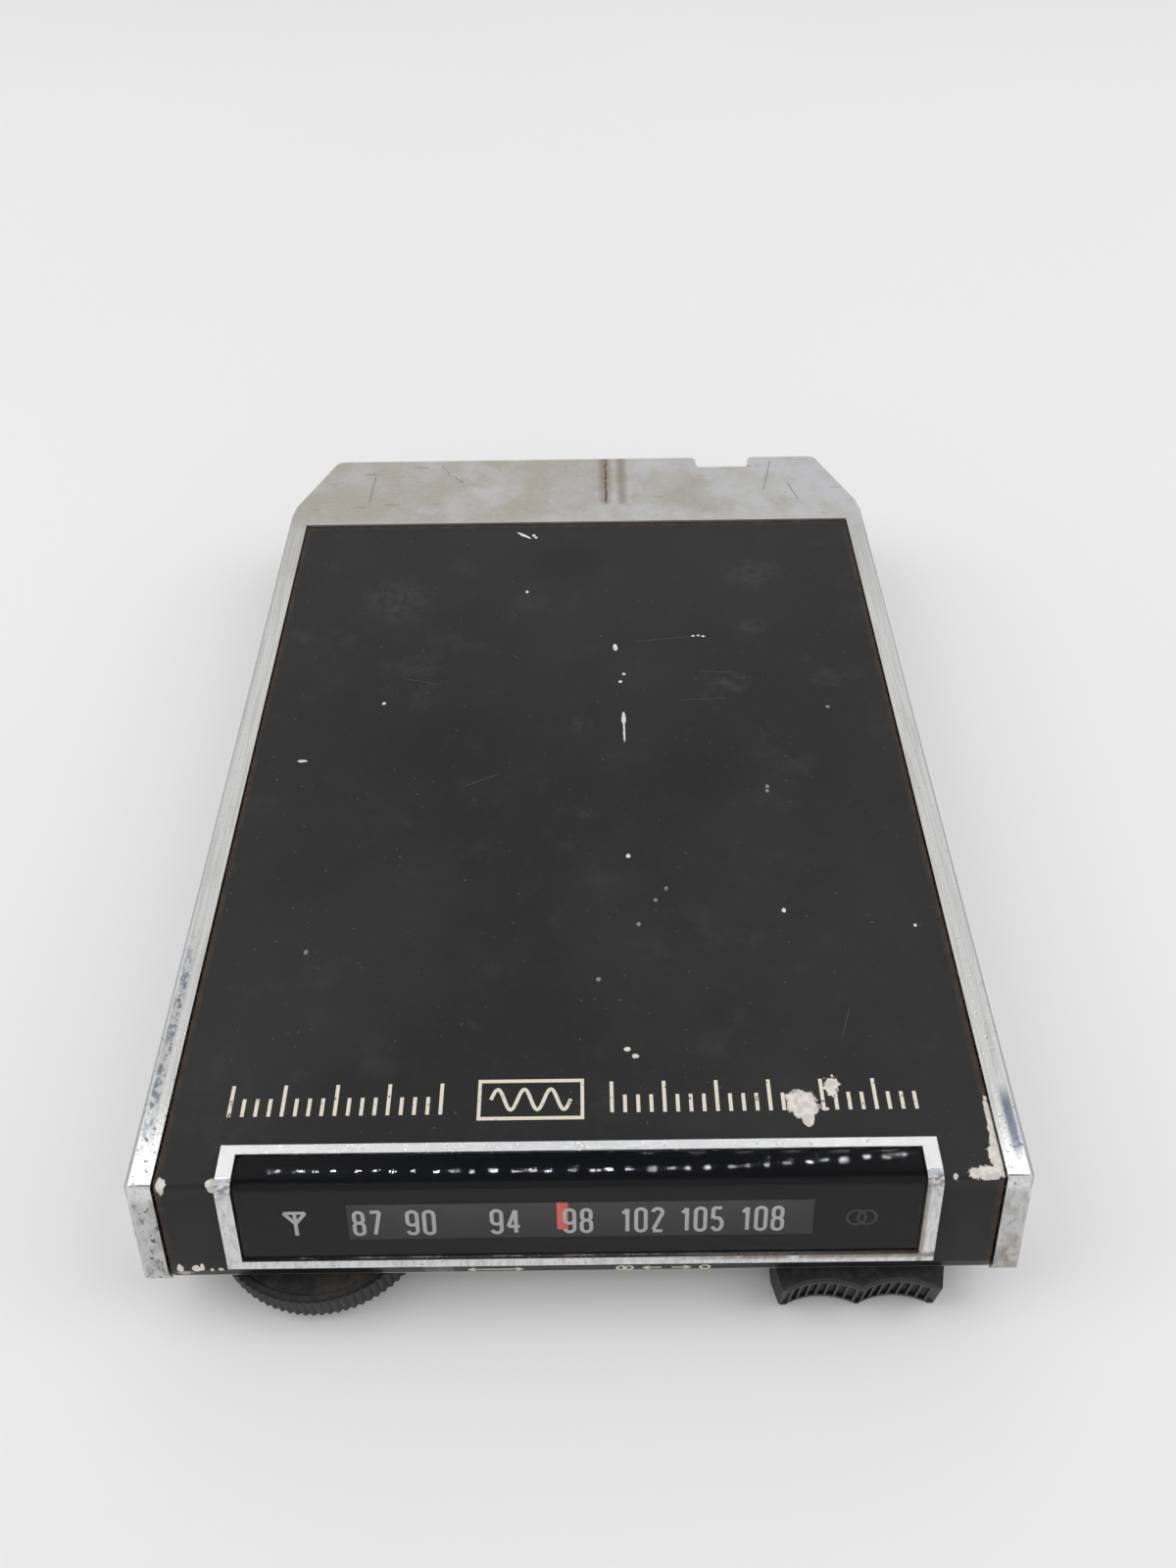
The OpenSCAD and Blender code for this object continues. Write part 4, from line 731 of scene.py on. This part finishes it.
# Electrolytics and trimmers: cans in a shrunk blue sleeve, and blue moulded bodies.
# They are soldered upright to the board.
sleeve_blue = even_finish("sleeve_blue", (0.06, 0.15, 0.40), (0.04, 0.10, 0.29), 0.8, 0.35, 0.0)
dress(sleeve_blue, "electrolytics", "trim_pots")

# Disc capacitors and resistors: ceramic bodies dipped in tan lacquer.
# Their wires are bent and soldered to the board.
ceramic_tan = even_finish("ceramic_tan", (0.58, 0.36, 0.16), (0.46, 0.26, 0.10), 1.2, 0.5, 0.0)
dress(ceramic_tan, "disc_capacitors", "resistors")

# Supply choke: a bobbin of pressed and fired ferrite in the supply's lead.
# It stands upright on the board.
ferrite = even_finish("ferrite", (0.05, 0.049, 0.048), (0.032, 0.031, 0.030), 1.5, 0.6, 0.0)
dress(ferrite, "supply_choke")

# Contact block: a dark brown phenolic moulding that carries the spring contacts.
# It is screwed down behind its window at the far end.
bakelite = even_finish("bakelite", (0.13, 0.055, 0.028), (0.09, 0.036, 0.018), 0.6, 0.35, 0.0)
dress(bakelite, "contact_block")

# Leads: stranded wire in red or black sleeves, from the head, the contacts and the lamp to the board.
# Their ends are soldered.
lead_red = even_finish("lead_red", (0.50, 0.06, 0.05), (0.38, 0.04, 0.035), 1.0, 0.45, 0.0)
lead_black = even_finish("lead_black", (0.024, 0.024, 0.025), (0.016, 0.016, 0.017), 1.0, 0.45, 0.0)
reworked("lamp_leads", lead_red, sharp=60)
reworked("head_leads", lead_red, sharp=60)
reworked("supply_leads", lead_black, sharp=60)

# Tuning thumbwheel and mode knob: black moulded plastic, the wheel screwed to its spindle and the knob
# pushed on the switch's slider. The grooves of the knurl and of the finger scallops are painted dark as
# painted shade, their teeth and ribs are painted lighter as painted highlights, and brown grime lies on the
# wheel's top.
grip_black, shader, place = new_finish("grip_black")
x, y, z = (place.axis(name) for name in "XYZ")
wheel_low, wheel_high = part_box("tuning_wheel")
wheel_middle = (wheel_low + wheel_high) / 2 / MM
wheel_radius = (wheel_high.x - wheel_low.x) / 2 / MM
from_axis = place.moved(-wheel_middle.x, -wheel_middle.y, 0).scaled(1, 1, 0).length()
wheel_top = from_axis.fall(wheel_radius - 1.1, wheel_radius - 0.6)
knurl = from_axis.near(wheel_radius, 0.45, 0.1)
tooth = from_axis.rise(wheel_radius - 0.26, wheel_radius - 0.08) * knurl
SCALLOP_PITCH, SCALLOP_RADIUS, SCALLOP_DEPTH = 8.65, 9.43, 1.0
RIBS_HALF = 8.3
knob_low, knob_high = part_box("mode_knob")
from_knob = abs(x - (knob_low.x + knob_high.x) / 2 / MM)
across_scallop = from_knob - SCALLOP_PITCH / 2
along_scallop = y - (knob_low.y / MM - SCALLOP_RADIUS + SCALLOP_DEPTH)
from_scallop = place.math("SQRT", across_scallop * across_scallop + along_scallop * along_scallop)
ribbed = from_scallop.fall(SCALLOP_RADIUS + 0.42, SCALLOP_RADIUS + 0.50)
rib = from_scallop.fall(SCALLOP_RADIUS + 0.06, SCALLOP_RADIUS + 0.20)
rib = rib.either(z.rise(knob_high.z / MM - 0.45, knob_high.z / MM - 0.35))
rib = rib.either(from_knob.rise(RIBS_HALF - 0.1, RIBS_HALF + 0.1)) * ribbed
dust = place.noise(0.9, 5.0, 0.6)
lint = place.noise(5.0, 3.0).rise(0.64, 0.72)
GRIME_SHIFT = 7
grime = place.moved(3, 0, 0).noise(0.45, 4.0, 0.65).rise(0.34, 0.60)
grime = x.near(wheel_middle.x + GRIME_SHIFT, 5.0, 3.0) * grime
moulded = (dust.rise(0.40, 0.75) * 0.5 + lint * 0.3).tint((0.011, 0.011, 0.011), (0.062, 0.060, 0.057))
moulded = (grime * wheel_top * 0.8).tint(moulded, (0.068, 0.054, 0.043))
# Painted shade in the grooves of the knurl and the scallops.
moulded = knurl.either(ribbed).tint(moulded, (0.004, 0.004, 0.004))
# Painted highlights on the knurl's teeth and on the ribs.
moulded = (tooth * 0.8).tint(moulded, (0.024, 0.024, 0.024))
moulded = rib.tint(moulded, (0.044, 0.044, 0.045))
place.fill(shader, {
    "Base Color": moulded,
    "Roughness": 0.42 + dust * 0.25,
    "Specular IOR Level": 0.35,
    "Normal": (dust + lint * 0.4).bump(0.03, 0.4),
})
reworked("tuning_wheel", grip_black, round_off=0.1, shortest=0.3)
reworked("mode_knob", grip_black, round_off=0.12, shortest=0.5)

# Bottom cover: a zinc-plated sheet tray with an upright front lip, held by four countersunk screws.
# It is folded from rolled sheet and dragged bright where it slides into the player.
tray, shader, place = new_finish("bottom_tray")
rolled = place.scaled(4.0, 0.12, 1.0).noise(1.0, 3.0)
scuffs = place.noise(0.5, 5.0, 0.65).rise(0.55, 0.75)
dragged = place.scaled(1.0, 0.025, 1.0).noise(0.9, 4.0, 0.6).rise(0.56, 0.70)
stained = place.moved(20, 5, 0).noise(0.05, 5.0, 0.6).rise(0.48, 0.70)
sheet = (rolled * 0.5 + scuffs * 0.4).tint((0.36, 0.36, 0.35), (0.58, 0.58, 0.57))
sheet = (stained * 0.45).tint(sheet, (0.32, 0.285, 0.23))
sheet = (dragged * 0.5).tint(sheet, (0.72, 0.72, 0.71))
place.fill(shader, {
    "Base Color": sheet,
    "Metallic": 1.0,
    "Roughness": 0.36 + scuffs * 0.2 + (rolled - 0.5) * 0.1 + stained * 0.12,
    "Normal": (rolled * 0.4 + scuffs * 0.3 - dragged * 0.3).bump(0.02, 0.4),
})
reworked("bottom_cover", tray, round_off=0.15, shortest=3.0)

# Top cover: sheet metal bent over the nose, in satin black paint over a pale primer.
# The paint is chipped at the bends and flecked; dust and rubbing leave it cloudy, and broad patches and the
# nose face are painted darker as painted shade.
COVER_SINK = 0.45
nose_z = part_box("top_cover")[0].z / MM
paint, shader, place = new_finish("black_paint")
x, y, z = (place.axis(name) for name in "XYZ")
ragged = (place.noise(1.1, 5.0, 0.72) - 0.5) * 1.5


def chip(spot, wide, long, high=9.0, rough=1.0, turn=0.0):
    """Mask of one chip, by its centre in metres, its half sizes in millimetres and its turn in degrees."""
    spread = place.moved(*(spot / -MM))
    if turn:
        spread = spread.turned(-turn)
    return (spread.scaled(1 / wide, 1 / long, 1 / high).length() + ragged * rough).fall(0.85, 1.0)


TOP_CHIPS = (
    (47.7, 5.4, 0.5, 5.0), (47.4, 2.6, 0.9, 2.2), (-47.2, 0.6, 0.6, 0.8), (-41.5, 0.5, 0.55, 0.7),
    (42.4, 0.4, 0.3, 0.3), (28.9, 8.6, 0.5, 0.25), (29.6, 10.4, 0.3, 0.2), (7.1, 69.3, 0.16, 2.4),
    (7.1, 72.0, 0.36, 1.4), (6.2, 87.8, 0.35, 0.9), (7.4, 81.7, 0.3, 0.3), (6.8, 80.0, 0.35, 0.3),
    (-40.6, 64.2, 0.8, 0.3), (-7.5, 117.0, 0.3, 0.4), (-7.1, 116.4, 0.3, 0.3), (6.9, 15.7, 0.5, 0.4),
    (5.9, 16.6, 0.4, 0.3), (27.3, 36.6, 0.3, 0.4), (7.0, 45.9, 0.35, 0.35), (44.2, 34.0, 0.25, 0.25),
    (-29.7, 75.9, 0.3, 0.3), (-8.3, 101.8, 0.25, 0.4), (18.9, 90.3, 0.3, 0.2), (19.7, 90.4, 0.25, 0.2),
    (20.5, 90.2, 0.3, 0.2))
chips = chip(on_top(26.2, 9.3, 0), 2.0, 1.9, rough=0.8)
chips = chips.either(chip(on_top(26.7, 7.4, 0), 0.8, 1.0, rough=0.5))
chips = chips.either(chip(on_top(30.0, 11.4, 0), 0.9, 1.4, rough=1.5))
for across_mm, back, wide, long in TOP_CHIPS:
    chips = chips.either(chip(on_top(across_mm, back, 0), wide, long))
chips = chips.either(chip(on_top(46.0, 0.75, -0.5), 2.3, 0.85, 0.8))
chips = chips.either(chip(on_top(-9.2, 117.0, 0), 1.5, 0.3, turn=-35))
NOSE_CHIPS = (
    (-46.8, 12.9, 0.42, 0.7), (-44.9, 13.0, 0.5, 0.6), (-44.2, 12.7, 0.25, 0.6), (-43.1, 13.2, 0.25, 0.35),
    (-42.1, 13.1, 0.35, 0.25))
for across_mm, down, wide, high in NOSE_CHIPS:
    chips = chips.either(chip(on_nose(across_mm, down, -COVER_SINK), wide, 0.8, high))
DIM_CHIPS = ((27.3, 57.3), (27.4, 58.2), (8.0, 34.7), (10.4, 38.5), (11.9, 40.4), (-35.2, 31.0), (2.6, 26.4))
dim_chips = chip(on_top(38.4, 74.0, 0), 0.35, 0.3)
for across_mm, back in DIM_CHIPS:
    dim_chips = dim_chips.either(chip(on_top(across_mm, back, 0), 0.3, 0.35))
worn_edge = abs(x).rise(RAIL_X - 1.2, RAIL_X - 0.1).either(y.rise(band_y - 1.2, band_y - 0.1))
worn_edge = worn_edge * (0.4 + place.noise(0.5, 4.0).rise(0.42, 0.62) * 0.6)
RUB_X, RUB_HALF, RUB_TOP_Z = -16.6, 1.7, 8.5
on_strip = y.fall(bend_y - 3, bend_y - 2)
bared = z.fall(nose_z + 0.1, nose_z + 0.3)
bared = bared.either(chip(on_nose(-46.2, 14.3, 0), 1.8, 1.2, 0.75)) * on_strip
rubbed_strip = (x + ragged * 0.6).near(RUB_X, RUB_HALF, 0.3) * z.fall(RUB_TOP_Z - 0.3, RUB_TOP_Z + 0.3)
rubbed_strip = rubbed_strip * on_strip
rubbed_strip = rubbed_strip * (0.35 + place.noise(1.4, 4.0, 0.6).rise(0.35, 0.60) * 0.65)
clouds = place.noise(0.035, 4.0, 0.6).rise(0.36, 0.70)
smudges = place.moved(11, 7, 0).noise(0.11, 5.0, 0.65).rise(0.54, 0.76)
dusting = place.noise(1.1, 6.0, 0.7).rise(0.50, 0.80)
flecks = place.noise(1.7, 1.0).rise(0.76, 0.79)
on_face = y.fall(bend_y - 0.8, bend_y)
TOP_SCRATCHES = (
    (-9.7, 85.9, 1.6, -45), (22.0, 82.0, 5.0, -4), (19.5, 76.0, 7.0, 2), (-24.0, 80.5, 6.0, -14),
    (-14.0, 60.0, 5.0, 24), (33.0, 20.0, 4.0, 70))
scratches = scratch(place, 14.2, 89.7, 9.6, 6.6, 0.06)
for across_mm, back, long, turn in TOP_SCRATCHES:
    scratches = scratches.either(scratch(place, across_mm, back, long, turn, 0.05))


def patch(across_mm, back, wide, long):
    """Mask of a soft patch on the top face, by its middle and its half sizes in millimetres."""
    spread = place.moved(-across_mm, -bend_y - back, -top_z).scaled(1 / wide, 1 / long, 0.2)
    return spread.length().fall(0.2, 1.0)


HAZY_PATCHES = (
    (23.8, 79.5, 5.0, 3.4), (28.5, 92.5, 3.6, 2.8), (0.5, 71.0, 2.4, 2.4), (-25.0, 84.0, 6.0, 4.0),
    (30.0, 106.0, 7.0, 5.0), (-30.0, 100.0, 9.0, 8.0))
hazy = patch(1.7, 53.4, 2.6, 1.6)
for across_mm, back, wide, long in HAZY_PATCHES:
    hazy = hazy.either(patch(across_mm, back, wide, long))
hazy = hazy * place.noise(0.6, 5.0, 0.65).rise(0.34, 0.66)
# Painted shade: broad soft patches where the top face is painted darker.
shade_patches = patch(-17, 66, 17, 13).either(patch(17, 62, 12, 11)).either(patch(-2, 110, 13, 9))
coat = clouds.tint((0.0105, 0.0105, 0.011), (0.018, 0.0175, 0.0175))
coat = (shade_patches * 0.7).tint(coat, (0.0075, 0.0075, 0.008))
coat = (smudges * 0.5).tint(coat, (0.040, 0.038, 0.036))
coat = (hazy * 0.5).tint(coat, (0.050, 0.049, 0.048))
coat = (dusting * 0.22).tint(coat, (0.045, 0.044, 0.043))
coat = (scratches * 0.5).tint(coat, (0.10, 0.098, 0.095))
coat = (flecks * 0.25).tint(coat, (0.22, 0.21, 0.20))
# Painted shade: the leaning nose face of the cover is painted darker than the top.
coat = (on_face * 0.75).tint(coat, (0.005, 0.005, 0.0055))
coat = (worn_edge * 0.55).tint(coat, (0.10, 0.062, 0.040))
coat = (rubbed_strip * 0.75).tint(coat, (0.17, 0.165, 0.16))
primer = place.noise(1.3, 4.0, 0.6).rise(0.35, 0.65).tint((0.60, 0.57, 0.53), (0.80, 0.75, 0.69))
coat = (dim_chips * 0.3).tint(coat, primer)
coat = chips.tint(coat, primer)
coat = bared.tint(coat, (0.44, 0.43, 0.41))
peel = place.noise(3.0, 3.0)
place.fill(shader, {
    "Base Color": coat,
    "Metallic": bared,
    "Roughness": 0.38 + clouds * 0.12 + dusting * 0.1 + smudges * 0.1,
    "Specular IOR Level": 0.3,
    "Normal": (peel * 0.25 - chips).bump(0.05, 0.5),
})
reworked("top_cover", paint, round_off=0.12, shortest=3.0)

# Cover marks: cream ink on the cover, plain and worn. A scale of strokes runs on either side of a
# framed wave; an arrow stands above the wheel, and rings and arrows stand above the slide knob.
cream_ink, shader, place = new_finish("cream_ink")
gone = place.noise(1.6, 4.0, 0.65).rise(0.60, 0.68)
place.fill(shader, {
    "Base Color": gone.tint((0.74, 0.70, 0.56), (0.05, 0.048, 0.045)),
    "Roughness": 0.5 + gone * 0.1,
})
MARK_OUT, MARK_THICK = -COVER_SINK + 0.008, 0.02
marks = bmesh.new()


def add_bar(low_x, high_x, low_back, high_back):
    """A thin upright bar of ink on the top face, by its sides in millimetres."""
    middle = on_top((low_x + high_x) / 2, (low_back + high_back) / 2, MARK_OUT)
    size = Matrix.Diagonal(((high_x - low_x) * MM, (high_back - low_back) * MM, MARK_THICK * MM, 1))
    bmesh.ops.create_cube(marks, size=1, matrix=Matrix.Translation(middle) @ size)


TICK, TICK_PITCH, TICK_LOW, TICK_HIGH, TICK_SHORT = 0.44, 1.55, 8.5, 12.4, 2.2
TICK_ROWS, LONG_EVERY = ((-41.2, 17), (3.7, 24)), 4
CHIP_X, CHIP_HALF = 26.3, 1.7
for start, count in TICK_ROWS:
    for tick in range(count):
        left = start + tick * TICK_PITCH
        tick_end = TICK_LOW + TICK_SHORT if tick % LONG_EVERY else TICK_HIGH
        if abs(left + TICK / 2 - CHIP_X) > CHIP_HALF:
            add_bar(left, left + TICK, TICK_LOW, tick_end)
BOX_LEFT, BOX_RIGHT, BOX_LOW, BOX_HIGH, LINE = -11.9, 0.66, 7.7, 12.8, 0.42
add_bar(BOX_LEFT, BOX_RIGHT, BOX_LOW, BOX_LOW + LINE)
add_bar(BOX_LEFT, BOX_RIGHT, BOX_HIGH - LINE, BOX_HIGH)
add_bar(BOX_LEFT, BOX_LEFT + LINE, BOX_LOW + LINE, BOX_HIGH - LINE)
add_bar(BOX_RIGHT - LINE, BOX_RIGHT, BOX_LOW + LINE, BOX_HIGH - LINE)
WAVE_LONG, WAVE_HIGH, WAVE_TURNS, WAVE_STEPS, WAVE_LINE = 9.4, 1.3, 3, 48, 0.46
wave = [(n / WAVE_STEPS * WAVE_LONG - WAVE_LONG / 2,
         WAVE_HIGH * math.sin(n / WAVE_STEPS * WAVE_TURNS * 2 * math.pi)) for n in range(WAVE_STEPS + 1)]
ribbon = stroke(wave, WAVE_LINE)
ribbon.transform(Matrix.Translation(on_top((BOX_LEFT + BOX_RIGHT) / 2, (BOX_LOW + BOX_HIGH) / 2, MARK_OUT))
                 @ Matrix.Scale(MM, 4))
marks.from_mesh(ribbon)
bpy.data.meshes.remove(ribbon)
strip_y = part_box("top_cover")[0].y / MM
upright_turn = Matrix.Rotation(math.pi / 2, 4, "X")
SIGN_LINE, SIGN_Y, SIGN_Z = 0.30, strip_y - 0.004, nose_z + 0.8
LONG_HALF, SHORT_HALF, HEAD_LONG, HEAD_HALF = 3.2, 1.1, 0.8, 0.52
SMALL_RING, SMALL_SHIFT, SMALL_STEPS = 0.55, 0.4, 16


def shaft(half):
    """The line of an arrow's shaft."""
    return [(-half, 0), (half, 0)]


def head(tip):
    """The line of an arrow's head, which points away from the middle."""
    root = tip - math.copysign(HEAD_LONG, tip)
    return [(root, HEAD_HALF), (tip, 0), (root, -HEAD_HALF)]


def small_ring(shift):
    """The line of a small ring beside the middle."""
    return arc(shift, 0, SMALL_RING, SMALL_RING, 0, 360, SMALL_STEPS)


double_arrow = (shaft(LONG_HALF), head(-LONG_HALF), head(LONG_HALF))
left_arrow = (shaft(SHORT_HALF), head(-SHORT_HALF))
right_arrow = (shaft(SHORT_HALF), head(SHORT_HALF))
two_rings = (small_ring(-SMALL_SHIFT), small_ring(SMALL_SHIFT))
one_ring = (small_ring(0),)
strip_signs = (
    (double_arrow, -10.0), (two_rings, 5.2), (left_arrow, 8.4), (right_arrow, 11.8), (one_ring, 14.6))
for sign, sign_x in strip_signs:
    for points in sign:
        ribbon = stroke(points, SIGN_LINE)
        ribbon.transform(Matrix.Translation(Vector((sign_x, SIGN_Y, SIGN_Z)) * MM) @ upright_turn
                         @ Matrix.Scale(MM, 4))
        marks.from_mesh(ribbon)
        bpy.data.meshes.remove(ribbon)
add_piece("cover_marks", marks, cream_ink, "case")
